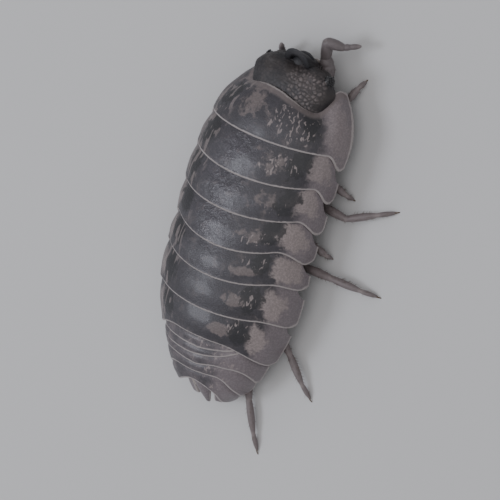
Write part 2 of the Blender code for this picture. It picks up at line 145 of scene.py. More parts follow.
# Marks of each trunk plate, as place across, place in front of the hind
# margin, half size across and half size along. The tan patches and the black
# bands are mirrored on the left side.
TAN = (
    (-0.80, 1.30, 0.27, 1.70),
    (-0.67, 1.12, 0.17, 0.88),
    (-0.66, 1.08, 0.17, 0.86),
    (-0.65, 0.98, 0.18, 0.82),
    (-0.67, 0.90, 0.20, 0.78),
    (-0.61, 0.95, 0.16, 0.82),
    (-0.58, 1.05, 0.13, 0.80),
)
BAND = (
    (-0.48, 1.30, 0.10, 0.85),
    (-0.46, 1.20, 0.11, 0.85),
    (-0.48, 1.05, 0.10, 0.85),
    (-0.45, 1.05, 0.10, 0.75),
    (-0.43, 1.05, 0.10, 0.70),
    (-0.42, 1.05, 0.11, 0.72),
    (-0.40, 0.95, 0.11, 0.62),
)
WORMS = (
    (-0.27, 1.05, 0.27, 0.85),
    (-0.27, 1.05, 0.18, 0.60),
    (-0.40, 0.75, 0.10, 0.45),
    (-0.30, 0.75, 0.16, 0.42),
    (-0.36, 1.05, 0.12, 0.45),
    (-0.38, 1.05, 0.12, 0.45),
    (-0.33, 1.20, 0.14, 0.42),
)
BLOTCH = (
    (0.14, 1.45, 0.16, 0.90),
    (-0.24, 1.05, 0.15, 0.50),
    (-0.34, 1.05, 0.13, 0.45),
    (-0.33, 0.95, 0.15, 0.36),
    (-0.31, 0.68, 0.15, 0.27),
    (-0.29, 0.92, 0.13, 0.34),
    (-0.21, 0.80, 0.11, 0.38),
)
# How strong the tan patches, the wet gloss with its painted sheen and the blotches are on each plate.
TAN_STRENGTH = (0.35, 0.75, 0.85, 1.00, 1.00, 0.95, 0.95)
WET_GLOSS_AND_PAINTED_SHEEN = (0.30, 0.95, 1.05, 1.00, 0.60, 0.25, 0.20)
BLOTCH_STRENGTH = (0.45, 0.30, 0.30, 0.40, 1.00, 0.95, 1.00)
NO_MARKS = {"tan": -1.0, "band": -1.0, "worms": -1.0, "blotch": -1.0}

# Telson stations: s, middle, half width, top above the edges.
TELSON = (
    (14.58, 0.00, 0.70, 1.78),
    (15.00, -0.02, 0.60, 1.54),
    (15.40, -0.06, 0.46, 1.25),
    (15.80, -0.13, 0.30, 0.93),
    (16.20, -0.22, 0.11, 0.58),
)
# Uropod stations: s, inner side, outer side, top above the edges.
UROPOD = (
    (15.10, 0.62, 1.14, 1.14),
    (15.55, 0.58, 1.08, 0.84),
    (16.06, 0.50, 0.90, 0.50),
)

# Head outlines from back to front: place, half width, top, bottom.
HEAD = (
    (-5.80, 2.00, 2.70, 1.60),
    (-6.50, 2.12, 2.90, 1.42),
    (-6.85, 2.22, 2.92, 1.34),
    (-7.20, 2.28, 2.88, 1.32),
    (-7.50, 2.14, 2.79, 1.34),
    (-7.82, 1.82, 2.62, 1.42),
    (-8.05, 1.42, 2.40, 1.54),
)
HEAD_CENTRE = -0.42
HEAD_TURN = -5.5
NOSE_HALF = 0.72
NOSE_FOOT_REACH = 0.30
NOSE_REACH = 0.64
NOSE_BACK = -8.10
NOSE_THICK = 0.30
NOSE_TOP = 2.78
NOSE_FOOT = 1.62
PEBBLE_SPACING = 0.20
EYE_RADIUS = 0.29
EYE_DEPTH = 0.22
LENS_SPACING = (0.104, 0.100)
LENS_WIDTH = 0.056
LENS_LENGTH = 0.044
EYE_SPOTS = {1: (1.92, -7.60, 1.90), -1: (-1.88, -7.84, 2.04)}

# Legs: foot and knee in plan, one row for each leg from the front.
RIGHT_LEGS = (
    ((-3.20, -8.00), (-2.72, -6.85)),
    ((-4.30, -2.30), (-3.35, -2.75)),
    ((-6.75, -2.60), (-4.40, -1.45)),
    ((-4.00, 0.80), (-3.35, 0.45)),
    ((-7.05, 1.65), (-4.50, 1.55)),
    ((-5.00, 7.90), (-3.40, 5.95)),
    ((-2.90, 11.60), (-1.80, 9.00)),
)
LEFT_LEGS = (
    ((2.60, -6.20), (2.55, -5.70)),
    ((3.90, -4.00), (3.30, -3.70)),
    ((4.60, -0.80), (3.50, -1.20)),
    ((4.70, 1.60), (3.60, 0.90)),
    ((4.60, 2.70), (3.50, 2.40)),
    ((4.30, 6.60), (3.20, 5.30)),
    ((2.20, 9.00), (2.05, 7.60)),
)
ROOT_OUT = 0.60
BASIS_IN = 0.33
KNEE_HEIGHTS = (1.36, 0.72, 0.60, 0.40)
ARTICLE_SIDES = 16
ARTICLE_RINGS = 11
ARTICLE_DOME = 0.55
LEG_WIDTHS = (0.33, 0.25, 0.20, 0.18, 0.145, 0.110, 0.062)

BRISTLE_COUNT = 1700
BRISTLE_WIDTH = 0.011
HAIR_COUNT = 420
HAIR_WIDTH = 0.007
HAIR_LENGTH = 0.075

# The soft body: place along the body line, half width, top.
BELLY = (
    (-1.0, 1.35, 1.45), (-0.4, 1.70, 1.75), (0.4, 2.15, 1.95), (1.4, 2.95, 2.18),
    (2.4, 3.35, 2.32), (4.2, 3.48, 2.50), (5.9, 3.48, 2.60), (7.6, 3.44, 2.64),
    (9.2, 3.48, 2.62), (11.0, 3.42, 2.52), (12.4, 2.85, 2.32), (13.5, 2.42, 2.10),
    (14.5, 1.80, 1.72), (15.35, 1.05, 1.15),
)

# Right and left feeler: joints in plan with their height.
RIGHT_FEELER = (
    (-1.59, -7.85, 0.95),
    (-1.33, -8.50, 1.15),
    (-1.45, -9.34, 1.62),
    (-2.14, -9.28, 1.25),
    (-2.87, -9.57, 0.95),
)
LEFT_FEELER = (
    (0.84, -7.70, 0.78),
    (1.12, -7.54, 0.60),
    (1.43, -7.66, 0.50),
    (1.34, -8.00, 0.72),
    (1.23, -8.41, 1.15),
)

# The camera, seen from its target: compass angle, height angle, roll,
# distance, and the focal length on a 36 mm sensor.
VIEW_TARGET = (-0.62, 1.40, 2.12)
VIEW_TURN = -62.0
VIEW_RISE = 57.0
VIEW_ROLL = -98.9
VIEW_DISTANCE = 110.0
VIEW_LENS = 164.3
FLOOR_REACH = 1.2


class ShellLooks(bpy.types.PropertyGroup):
    """Colours and relief of the back plates and the head."""

    slate: bpy.props.FloatVectorProperty(
        name="Slate", description="Main colour of the back plates",
        subtype="COLOR", default=(0.031, 0.028, 0.034), min=0, max=1)
    # Painted sheen: the lighter, bluish colour that stands in for the reflected sheen on the back.
    painted_sheen: bpy.props.FloatVectorProperty(
        name="Light slate", description="Lighter, bluish parts of the back plates",
        subtype="COLOR", default=(0.066, 0.061, 0.074), min=0, max=1)
    # The same black is also the painted shade in the pit behind the nose.
    black: bpy.props.FloatVectorProperty(
        name="Black band", description="Band just inside the tan patches",
        subtype="COLOR", default=(0.012, 0.012, 0.015), min=0, max=1)
    tan: bpy.props.FloatVectorProperty(
        name="Tan", description="Patches at the base of each side plate",
        subtype="COLOR", default=(0.265, 0.222, 0.215), min=0, max=1)
    brown: bpy.props.FloatVectorProperty(
        name="Brown", description="Blotches and worm-like marks",
        subtype="COLOR", default=(0.150, 0.123, 0.119), min=0, max=1)
    flank: bpy.props.FloatVectorProperty(
        name="Side plates", description="Grey-brown of the sides of the plates",
        subtype="COLOR", default=(0.178, 0.150, 0.160), min=0, max=1)
    pale: bpy.props.FloatVectorProperty(
        name="Pale edge", description="Thin line along each free plate edge",
        subtype="COLOR", default=(0.330, 0.297, 0.290), min=0, max=1)
    rim_width: bpy.props.FloatProperty(
        name="Edge line", description="Width of the pale line along the plate edges",
        unit="LENGTH", default=0.000085, min=0.00001, max=0.001, precision=6)
    grain: bpy.props.FloatProperty(
        name="Grain", description="Height of the fine grain of the plates",
        unit="LENGTH", default=0.000012, min=0, max=0.0001, precision=6)
    gloss: bpy.props.FloatProperty(
        name="Roughness", description="Roughness of the plates",
        subtype="FACTOR", default=0.42, min=0, max=1)


class LimbLooks(bpy.types.PropertyGroup):
    """Colours of the legs, the feelers and the underside."""

    limb: bpy.props.FloatVectorProperty(
        name="Limb", description="Colour of the middle of each limb article",
        subtype="COLOR", default=(0.135, 0.112, 0.112), min=0, max=1)
    joint: bpy.props.FloatVectorProperty(
        name="Joint", description="Paler colour at the joints and towards the feet",
        subtype="COLOR", default=(0.230, 0.195, 0.190), min=0, max=1)
    feeler: bpy.props.FloatVectorProperty(
        name="Feeler", description="Colour of the feelers",
        subtype="COLOR", default=(0.118, 0.101, 0.103), min=0, max=1)
    belly: bpy.props.FloatVectorProperty(
        name="Belly", description="Colour of the soft underside",
        subtype="COLOR", default=(0.290, 0.250, 0.215), min=0, max=1)
    bristle: bpy.props.FloatProperty(
        name="Bristle length", description="Length of the bristles on the legs",
        unit="LENGTH", default=0.00016, min=0.00001, max=0.001, precision=6)


class StageLooks(bpy.types.PropertyGroup):
    """Floor, light and camera."""

    floor: bpy.props.FloatVectorProperty(
        name="Floor", description="Colour of the plain floor",
        subtype="COLOR", default=(0.57, 0.57, 0.57), min=0, max=1)
    key: bpy.props.FloatProperty(
        name="Key light", description="Power of the main soft light",
        unit="POWER", default=0.17, min=0, max=10)
    fill: bpy.props.FloatProperty(
        name="Fill light", description="Power of the wide light overhead",
        unit="POWER", default=0.55, min=0, max=10)
    sky: bpy.props.FloatProperty(
        name="Surroundings", description="Brightness of the light from all round",
        default=0.66, min=0, max=5)


def smooth(low, high, value):
    t = np.clip((value - low) / (high - low), 0, 1)
    return t * t * (3 - 2 * t)


def line_point(s):
    """Points of the body line at the level of the plate edges."""
    s = np.asarray(s, float)
    drop = NOSE_DROP * np.maximum(0, (3.0 - s) / 4.0) ** 2
    drop += TAIL_DROP * np.maximum(0, (s - 9.0) / 7.0) ** 2
    x = FRONT_BEND * (smooth(-1.5, 6, s) - 0.66)
    x -= TAIL_BEND * smooth(8, 16, s)
    return np.stack([x, s - MIDDLE_S, EDGE_HEIGHT - drop], -1)


def line_frame(s):
    """Points, left directions and up directions of the body line."""
    step = 0.05
    along = line_point(np.asarray(s) + step) - line_point(np.asarray(s) - step)
    along[..., 0] *= PLATE_TURN
    along /= np.linalg.norm(along, axis=-1, keepdims=True)
    left = np.cross(along, (0.0, 0.0, 1.0))
    left /= np.linalg.norm(left, axis=-1, keepdims=True)
    return line_point(s), left, np.cross(left, along)


def on_body(s, x, z):
    """Points beside and above the body line."""
    point, left, up = line_frame(s)
    return point + left * np.asarray(x)[..., None] + up * np.asarray(z)[..., None]


def arch(u, half, height):
    """The outline of the back across the body: a tall rounded arch."""
    phi = np.abs(u) * pi / 2
    rise = np.maximum(np.cos(phi), 0) ** ARCH_ROUND
    return np.sign(u) * half * np.sin(phi), height * rise


def corner_pull(u, size, zone=CORNER_ZONE):
    """How far a rounded corner draws a margin in, at this place across."""
    q = np.clip((np.abs(u) - 1 + zone) / zone, 0, 1)
    return size * (1 - np.sqrt(1 - q * q))


def hind_margin(plate, u):
    """Where the hind margin of a trunk plate runs."""
    bow = plate.crest * np.maximum(1 - u * u, 0) ** CREST_ROUND
    return plate.line + bow + plate.corner * smooth(plate.start, 1, np.abs(u))


def rounded_hind(plate, u):
    """The same margin with its corners rounded off."""
    return hind_margin(plate, u) - corner_pull(u, plate.rounding)


def first_margin(u):
    """The front margin of the first plate, which holds the head."""
    places, values = zip(*FRONT_LINE[::-1])
    return curve_at(places, values, np.asarray(u, float))


def curve_at(places, values, x):
    """A smooth curve through values at places, without overshoot."""
    places, values = np.asarray(places, float), np.asarray(values, float)
    gaps = np.diff(places)
    slopes = np.diff(values) / gaps
    tangent = np.concatenate([[slopes[0]], (slopes[:-1] + slopes[1:]) / 2, [slopes[-1]]])
    turning = np.concatenate([[False], slopes[:-1] * slopes[1:] <= 0, [False]])
    tangent[turning] = 0
    i = np.clip(np.searchsorted(places, x) - 1, 0, len(gaps) - 1)
    t = (x - places[i]) / gaps[i]
    a, b = values[i], values[i + 1]
    da, db = tangent[i] * gaps[i], tangent[i + 1] * gaps[i]
    cubic = (2 * t ** 3 - 3 * t ** 2 + 1) * a + (t ** 3 - 2 * t ** 2 + t) * da
    return cubic + (3 * t ** 2 - 2 * t ** 3) * b + (t ** 3 - t ** 2) * db


def tail_margin(index, u):
    """The hind margin of a tail plate."""
    return curve_at(TAIL_PLACES[::-1], TAIL[index][::-1], np.asarray(u, float))


def grid_faces(rows, cols, closed=False):
    """Quads of a grid of points that were laid down row by row."""
    i, j = np.meshgrid(np.arange(rows - 1), np.arange(cols - (not closed)), indexing="ij")
    k = (j + 1) % cols
    corners = (i * cols + j, i * cols + k, (i + 1) * cols + k, (i + 1) * cols + j)
    return np.stack(corners, -1).reshape(-1, 4)


def tube_faces(rows, sides):
    """Faces of a row of rings, closed by a fan round one point at each end."""
    j = np.arange(sides)
    k = (j + 1) % sides
    pole, last = np.full(sides, rows * sides), (rows - 1) * sides
    fans = np.stack([k, j, pole, last + j, last + k, pole + 1], -1)
    return [*grid_faces(rows, sides, closed=True), *fans.reshape(-1, 3)]


def sheet_faces(rows, cols):
    """Faces of an upper and a lower grid that together close a thin sheet."""
    ring = [(0, j) for j in range(cols)]
    ring += [(i, cols - 1) for i in range(1, rows)]
    ring += [(rows - 1, j) for j in range(cols - 2, -1, -1)]
    ring += [(i, 0) for i in range(rows - 2, 0, -1)]
    spots = np.array([i * cols + j for i, j in ring])
    after = np.roll(spots, -1)
    count = rows * cols
    rim = np.stack([spots, spots + count, after + count, after], -1)
    upper = grid_faces(rows, cols)
    return np.concatenate([upper, upper[:, ::-1] + count, rim])


def grid_normals(grid):
    """Unit normals of a grid of points."""
    normal = np.cross(np.gradient(grid, axis=1), np.gradient(grid, axis=0))
    return normal / np.maximum(np.linalg.norm(normal, axis=-1, keepdims=True), 1e-12)


def distance_to(points, line):
    """Distance from each point to the nearest point of a dense line."""
    tree = KDTree(len(line))
    for i, spot in enumerate(line):
        tree.insert(spot, i)
    tree.balance()
    found = [tree.find(point)[2] for point in points.reshape(-1, 3)]
    return np.array(found).reshape(points.shape[:-1])


def dense(line, spacing=0.02):
    """A polyline with points laid in until none are further apart."""
    line = np.asarray(line, float)
    length = np.concatenate([[0], np.cumsum(np.linalg.norm(np.diff(line, axis=0), axis=1))])
    places = np.linspace(0, length[-1], max(2, int(length[-1] / spacing)))
    return np.stack([np.interp(places, length, line[:, k]) for k in range(3)], -1)


def soft_noise(points, size, seed):
    """Smooth noise over points, with bumps of about this size."""
    shift = Vector((seed * 7.3, seed * 3.1, seed * 5.7))
    found = [noise.noise(Vector(point) / size + shift) for point in points.reshape(-1, 3)]
    return np.array(found).reshape(points.shape[:-1])


def linked(name, data):
    """A new object in the scene that shows these data."""
    obj = bpy.data.objects.new(name, data)
    bpy.context.scene.collection.objects.link(obj)
    return obj


class Shape:
    """Points, faces and named fields that become one mesh."""

    def __init__(self):
        self.points, self.faces, self.fields = [], [], {}
        self.count = 0

    def add(self, points, faces, **fields):
        points = np.asarray(points, float).reshape(-1, 3)
        self.points.append(points)
        self.faces += [tuple(int(v) + self.count for v in face) for face in faces]
        for key in set(self.fields) | set(fields):
            values = fields.get(key, np.zeros(len(points)))
            held = self.fields.setdefault(key, [np.zeros(self.count)] if self.count else [])
            held.append(np.broadcast_to(np.asarray(values, float).reshape(-1), (len(points),)))
        self.count += len(points)

    def object(self, name, finish):
        """Makes the object, in metres about the frame's origin, faces outward."""
        mesh = bpy.data.meshes.new(name)
        points = (np.concatenate(self.points) - CENTRE) * MM
        mesh.from_pydata(points.tolist(), [], self.faces)
        face_outward(mesh)
        mesh.materials.append(finish)
        obj = linked(name, mesh)
        for key, values in self.fields.items():
            set_field(obj, key, np.concatenate(values))
        return obj


def face_outward(mesh):
    """Turns every closed shell of a mesh to face outward, and smooths it."""
    bm = bmesh.new()
    bm.from_mesh(mesh)
    bmesh.ops.recalc_face_normals(bm, faces=bm.faces)
    bm.to_mesh(mesh)
    bm.free()
    mesh.shade_smooth()
    mesh.set_sharp_from_angle(angle=radians(50))


def finish_piece(obj, slot, *nodes):
    """Hands a finished piece to the frame."""
    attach(obj, "root")
    if nodes:
        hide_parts(*nodes)
    return obj


def spot_field(u, back, mark):
    """1 at the middle of a mark, 0 at its edge and below 0 outside it."""
    across, along, half_across, half_along = mark
    aside = (u - across) / half_across
    aside = aside * np.where(aside * np.sign(across) > 0, 0.72, 1.0)
    return 1 - np.sqrt(aside ** 2 + ((back - along) / half_along) ** 2)


def both_sides(u, back, mark):
    """The field of a mark and of its mirror image on the other side."""
    mirrored = (-mark[0], *mark[1:])
    return np.maximum(spot_field(u, back, mark), spot_field(u, back, mirrored))


def places_across(count):
    """Places across the body, closer together towards the plate edges."""
    return np.sin(pi / 2 * (1 - 2 * np.arange(count) / (count - 1)))


def places_along(count):
    """Places from 0 to 1, closer together towards both ends."""
    x = np.linspace(0, 1, count)
    return x - 0.13 * np.sin(2 * pi * x)


def add_sheet(shape, grid, inset, relief, bevel, sheet, least, **fields):
    """Adds a thin sheet over a grid of points, rounded off towards its rim.

    inset is each point's distance from the free edges, relief the height over
    the grid, bevel the width of the rounding, least the share of the sheet's
    thickness that is left at the edge itself."""
    rows, cols = inset.shape
    normal = grid_normals(grid)
    if normal[rows // 2, cols // 2, 2] < 0:
        normal = -normal
    edge = np.sqrt(1 - (1 - np.clip(inset / bevel, 0, 1)) ** 2)
    thick = sheet * (least + (1 - least) * edge)
    sunk = (sheet - thick) / 2
    top = grid + normal * (relief - sunk)[..., None]
    low = grid - normal * (sunk + thick)[..., None]
    both = {}
    for key, value in fields.items():
        both[key] = np.tile(np.broadcast_to(value, inset.shape).ravel(), 2)
    both["under"] = np.repeat((0.0, 1.0), inset.size)
    points = np.concatenate([top.reshape(-1, 3), low.reshape(-1, 3)])
    shape.add(points, sheet_faces(rows, cols), **both)


def add_plate(shape, front, hind, size, marks, grid, seed, sheet=SHEET_THICK, bare=False):
    """Adds one curved plate with rounded free edges to a shape.

    front and hind give the margins at u, size gives half width and height at
    u, s and t, marks gives the fields, and bare says that the front is free."""
    rows, cols = grid
    u, t = np.meshgrid(places_across(cols), places_along(rows))
    start, end = front(u), hind(u)
    s = start + (end - start) * t
    outer = on_body(s, *arch(u, *size(u, s, t)))
    lines = [outer[-1], outer[:, 0], outer[:, -1]] + [outer[0]] * bare
    rim = distance_to(outer, np.concatenate([dense(line) for line in lines]))
    swell = 0.022 * soft_noise(outer, 0.9, seed) + 0.005 * soft_noise(outer, 0.25, seed + 1)
    relief = swell * smooth(0.05, 0.4, rim) + LIP_HEIGHT * np.exp(-((rim - 0.09) / 0.05) ** 2)
    shown = rim / (1 + 1.2 * smooth(0.85, 1.0, np.abs(u)))
    fields = {"rim": shown, "left": smooth(0.0, 0.3, u), "lip": 9.0, **marks(u, s, end - s)}
    add_sheet(shape, outer, rim, relief, EDGE_ROUND, sheet, 0.04, **fields)


def trunk_marks(index):
    """The fields of the marks on one trunk plate."""
    strength = TAN_STRENGTH[index]

    def marks(u, s, back):
        tan = both_sides(u, back, TAN[index])
        fields = {
            "tan": tan - (1 - tan) * (1 - strength) * 0.3,
            "pale": strength,
            # Painted sheen along a stripe near the middle; the same field also lowers the roughness
            # there.
            "gleam": np.exp(-((u - 0.08) / 0.26) ** 2) * WET_GLOSS_AND_PAINTED_SHEEN[index],
            "band": both_sides(u, back, BAND[index]),
            "worms": spot_field(u, back, WORMS[index]),
            "blotch": spot_field(u, back, BLOTCH[index]) * BLOTCH_STRENGTH[index],
            "side": smooth(0.52, 0.74, -u) + 0.35 * smooth(0.60, 0.90, u),
            # Tan streaks painted as long highlights along the left flank.
            "streak": smooth(0.28, 0.40, u) * smooth(0.78, 0.60, u),
        }
        if index == 0:
            fields["lip"] = s - first_margin(u)
        return fields
    return marks


def first_plate(shape):
    """Adds the first trunk plate, which narrows forward round the head."""
    plate = TRUNK[0]

    def size(u, s, t):
        spread = 1 - (1 - t) ** 2.3
        rise = 1 - (1 - t) ** 2
        half = FRONT_WIDTH + (plate.half - FRONT_WIDTH) * spread
        return half, FRONT_HEIGHT + (plate.height - FRONT_HEIGHT) * rise

    def hind(u):
        return rounded_hind(plate, u)

    add_plate(shape, first_margin, hind, size, trunk_marks(0), FIRST_GRID, 1, bare=True)


def trunk_plate(shape, index):
    """Adds a trunk plate that starts under the one before it."""
    before, plate = TRUNK[index - 1], TRUNK[index]

    def shown(u):
        return smooth(0.78, 0.97, np.abs(u))

    def front(u):
        free = PLATE_GAP + corner_pull(u, FRONT_CORNER)
        bare = shown(u)
        return hind_margin(before, u) - UNDERLAP * (1 - bare) + free * bare

    def hind(u):
        return rounded_hind(plate, u)

    def size(u, s, t):
        start = hind_margin(before, u)
        way = np.clip((s - start) / (hind_margin(plate, u) - start), 0, 1)
        half = before.half * (1 - way) + plate.half * way
        height = before.height * (1 - way) + plate.height * way
        sunk = PLATE_STEP * (1 - smooth(-0.25, 1.00, s - start)) * (1 - 0.5 * shown(u))
        swell = 0.05 * np.sin(pi * way)
        return half + swell - sunk, height + swell - sunk

    add_plate(shape, front, hind, size, trunk_marks(index), TRUNK_GRID, 10 * index)


def tail_surface(u, s):
    """Half width and height of the tail's outer surface at a place."""
    places, halves, heights = zip(*TAIL_ARCH)
    narrow = (0.18 * smooth(13.0, 13.9, s) - 0.08) * smooth(0.3, 0.9, u)
    return np.interp(s, places, halves) - narrow, np.interp(s, places, heights)


def tail_plate(shape, index):
    """Adds a tail plate that starts under the plate before it."""

    def ahead(u):
        return hind_margin(TRUNK[-1], u) if index == 0 else tail_margin(index - 1, u)

    def hind(u):
        return tail_margin(index, u) - corner_pull(u, 0.16, 0.10)

    def front(u):
        return np.minimum(ahead(u) - 0.26, hind(u) - 0.12)

    def size(u, s, t):
        half, height = tail_surface(u, s)
        start = np.maximum(ahead(u), hind_margin(TRUNK[-1], u))
        sunk = 0.015 + 0.085 * (1 - smooth(-0.10, 0.22, s - start))
        if index < 2:
            sunk = sunk + 0.20 * smooth(0.55, 0.95, np.abs(u))
        return half - sunk, height - sunk

    def marks(u, s, back):
        return {
            **NO_MARKS,
            "side": 0.40 + 0.60 * smooth(0.15, 0.50, -u),
            "pale": 1.0,
            # A weak painted sheen, with a slightly lower roughness.
            "gleam": 0.2,
            "worms": spot_field(u, back, (-0.2, 0.3, 0.3, 0.3)) * 0.3,
            # Weaker painted highlight streaks along the left flank.
            "streak": smooth(0.30, 0.42, u) * smooth(0.66, 0.52, u) * 0.6,
        }

    add_plate(shape, front, hind, size, marks, TAIL_GRID, 100 + 10 * index, TAIL_SHEET)


def resample(rows, count):
    """A grid of points with this many rows, evenly laid between its rows."""
    places, known = np.linspace(0, len(rows) - 1, count), range(len(rows))
    return np.stack([
        np.stack([np.interp(places, known, rows[:, j, k]) for k in range(3)], -1)
        for j in range(rows.shape[1])
    ], 1)


def station_plate(stations, rows, cols, seed):
    """A plate through cross rows of points, with a rounded rim."""
    grid = resample(np.array(stations, float), rows)
    grid = resample(grid.swapaxes(0, 1), cols).swapaxes(0, 1)
    line = np.concatenate([dense(grid[-1]), dense(grid[:, 0]), dense(grid[:, -1])])
    rim = distance_to(grid, line)
    relief = soft_noise(grid, 0.3, seed) * 0.012
    shape = Shape()
    fields = {**NO_MARKS, "rim": rim, "side": 0.8, "lip": 9.0}
    add_sheet(shape, grid, rim, relief, 0.12, 0.26, 0.05, **fields)
    return shape


def telson_shape():
    """The short blunt triangle that ends the back."""
    v = np.linspace(-1, 1, 9)
    rows = [
        on_body(np.full(9, s), middle + half * v, top * (1 - 0.22 * v * v))
        for s, middle, half, top in TELSON
    ]
    return station_plate(rows, 26, 33, 3)


def uropod_shape(side):
    """The small plate that fills the corner beside the telson."""
    v = np.linspace(0, 1, 5)
    rows = [
        on_body(np.full(5, s), side * (near + (far - near) * v), top - 0.15 * v)
        for s, near, far, top in UROPOD
    ]
    return station_plate(rows, 20, 15, 4)


def head_place(x, y, z):
    """Points of the head, turned with it about the neck."""
    turn = radians(HEAD_TURN)
    x, y = np.asarray(x, float), np.asarray(y, float)
    back = y + 6.5
    z = np.broadcast_to(np.asarray(z, float), np.broadcast(x, y, z).shape)
    px = HEAD_CENTRE + x * cos(turn) - back * sin(turn)
    py = -6.5 + x * sin(turn) + back * cos(turn)
    return np.stack([np.broadcast_to(px, z.shape), np.broadcast_to(py, z.shape), z], -1)


def pebbles(points, spacing, seed):
    """A field of rounded cells over points seen from above: 1 in each cell."""
    rng = np.random.default_rng(seed)
    low, high = points[:, :2].min(0), points[:, :2].max(0)
    xs = np.arange(low[0], high[0], spacing)
    ys = np.arange(low[1], high[1], spacing)
    tree = KDTree(len(xs) * len(ys))
    for i, x in enumerate(xs):
        for j, y in enumerate(ys):
            jitter = rng.uniform(-0.42, 0.42, 2) * spacing
            shift = spacing / 2 * (j % 2)
            tree.insert((x + jitter[0] + shift, y + jitter[1], 0), i * len(ys) + j)
    tree.balance()
    found = [tree.find_n((p[0], p[1], 0), 2) for p in points]
    gap = np.array([second[2] - first[2] for first, second in found])
    return smooth(0.0, spacing * 0.55, gap)


def add_capsule(shape):
    """Adds the broad head with pebbled crown and frontal lobes."""
    place, half, top, low = np.array(HEAD)[::-1].T
    dome_rows, levels, sides = 14, 150, 300
    front, back = place[0], place[-1]
    way = np.linspace(0, 1, levels) ** 1.1
    y = np.concatenate([np.full(dome_rows, front), front + (back - front) * way])
    angle = np.linspace(0.06, 1, dome_rows) * pi / 2
    scale = np.concatenate([np.sin(angle), np.ones(levels)])[:, None]
    dome = np.concatenate([0.12 * np.cos(angle), np.zeros(levels)])
    half, top, low = (curve_at(place, values, y)[:, None] for values in (half, top, low))
    mid = low + 0.38 * (top - low)
    a = 2 * pi * np.arange(sides) / sides
    across = np.sign(np.cos(a)) * np.abs(np.cos(a)) ** 0.8
    rise = np.sign(np.sin(a)) * np.abs(np.sin(a)) ** 0.85
    x = scale * half * across
    z = mid + scale * np.where(rise > 0, top - mid, mid - low) * rise
    where = np.broadcast_to((y - dome)[:, None], x.shape)
    lobe = np.exp(-((np.abs(x) - 1.30) / 0.32) ** 2 - ((where + 7.86) / 0.18) ** 2)
    groove = np.exp(-(x / 0.50) ** 2 - ((where + 7.98) / 0.20) ** 2)
    z = z + (0.13 * lobe - 0.16 * groove) * (rise > 0.1)
    points = head_place(x, where, z)
    normal = grid_normals(points)
    if ((points - points.mean(axis=(0, 1))) * normal).sum() < 0:
        normal = -normal
    cells = pebbles(points.reshape(-1, 3), PEBBLE_SPACING, 5).reshape(x.shape)
    uneven = soft_noise(points, 0.28, 6)
    crown = smooth(0.15, 0.5, rise) * smooth(-8.10, -7.80, where) * smooth(2.15, 1.75, np.abs(x))
    crown = crown * smooth(-6.35, -6.65, where + 0.10 * x)
    crown = crown * (0.16 + 0.84 * smooth(0.25, -0.45, x)) * smooth(-0.55, 0.05, uneven)
    rough = soft_noise(points, 0.16, 8)
    wrinkle = soft_noise(points * (0.7, 1.6, 1.0), 0.13, 9)
    lift = crown * (0.034 * cells - 0.010) + (0.006 * rough + 0.010 * wrinkle) * (1 - crown)
    points = points + normal * lift[..., None]
    warm = np.exp(-((x + 1.25) / 0.55) ** 2 - ((where + 7.65) / 0.45) ** 2)
    ends = (points[0].mean(0), points[-1].mean(0))
    # This field marks the tops of the crown's pebbles, which the head's colour paints paler as
    # painted highlights.
    shape.add(
        np.concatenate([points.reshape(-1, 3), ends]), tube_faces(len(y), sides), rim=9.0,
        pebble=np.append(cells * crown, (0, 0)), warm=np.append(warm, (0, 0)))


def add_nose(shape):
    """Adds the upright plate in front of the head, bowed forward."""
    rows, cols = 26, 61
    v, w = np.meshgrid(np.linspace(-1, 1, cols), np.linspace(0, 1, rows))
    a = radians(88) * v
    top = NOSE_TOP - 0.36 * v * v
    z = NOSE_FOOT + (top - NOSE_FOOT) * w ** 0.9
    reach = NOSE_FOOT_REACH + (NOSE_REACH - NOSE_FOOT_REACH) * w ** 0.75
    crest = np.sqrt(1 - np.clip((w - 0.86) / 0.14, 0, 1) ** 2)
    thick = NOSE_THICK * (0.15 + 0.85 * crest)
    outer = head_place(NOSE_HALF * np.sin(a), NOSE_BACK - reach * np.cos(a), z)
    depth = (reach - thick + 0.06) * np.cos(a)
    inner = head_place((NOSE_HALF - thick) * np.sin(a), NOSE_BACK + 0.06 - depth, z)
    # The inner face gets a rim of 0, which the head's colour paints black as painted shade of the pit
    # behind the nose.
    rim = np.append(distance_to(outer, dense(outer[-1])), np.zeros(z.shape))
    points = np.concatenate([outer.reshape(-1, 3), inner.reshape(-1, 3)])
    shape.add(points, sheet_faces(rows, cols), rim=rim + 0.02)


def add_face(shape):
    """Adds the front of the head below the nose: its foot, face and lip."""
    for place, radii, rim in (
        # The dish behind the nose has a rim of 0, which paints it black as painted shade.
        ((0, NOSE_BACK + 0.02, 1.84), (0.58, 0.54, 0.50), 0.0),
        ((0, -8.02, 1.46), (0.78, 0.32, 0.34), 9.0),
        ((0, -8.06, 1.16), (0.50, 0.26, 0.24), 9.0),
        ((1.20, -7.86, 1.70), (0.46, 0.30, 0.32), 9.0),
        ((-1.20, -7.86, 1.70), (0.46, 0.30, 0.32), 9.0),
    ):
        add_ball(shape, head_place(*place), radii, 24, rim=rim)


def add_ball(shape, centre, radii, sides, turn=None, **fields):
    """Adds a closed rounded form about a centre."""
    rows = sides // 2
    around = 2 * pi * np.arange(sides) / sides
    b, a = np.meshgrid(around, pi * np.arange(1, rows + 1) / (rows + 1))
    local = np.stack([np.cos(b) * np.sin(a), np.sin(b) * np.sin(a), np.cos(a)], -1) * radii
    local = np.concatenate([local.reshape(-1, 3), ((0, 0, radii[2]), (0, 0, -radii[2]))])
    if turn is not None:
        local = local @ np.array(turn).T
    shape.add(local + np.asarray(centre).reshape(3), tube_faces(rows, sides), **fields)


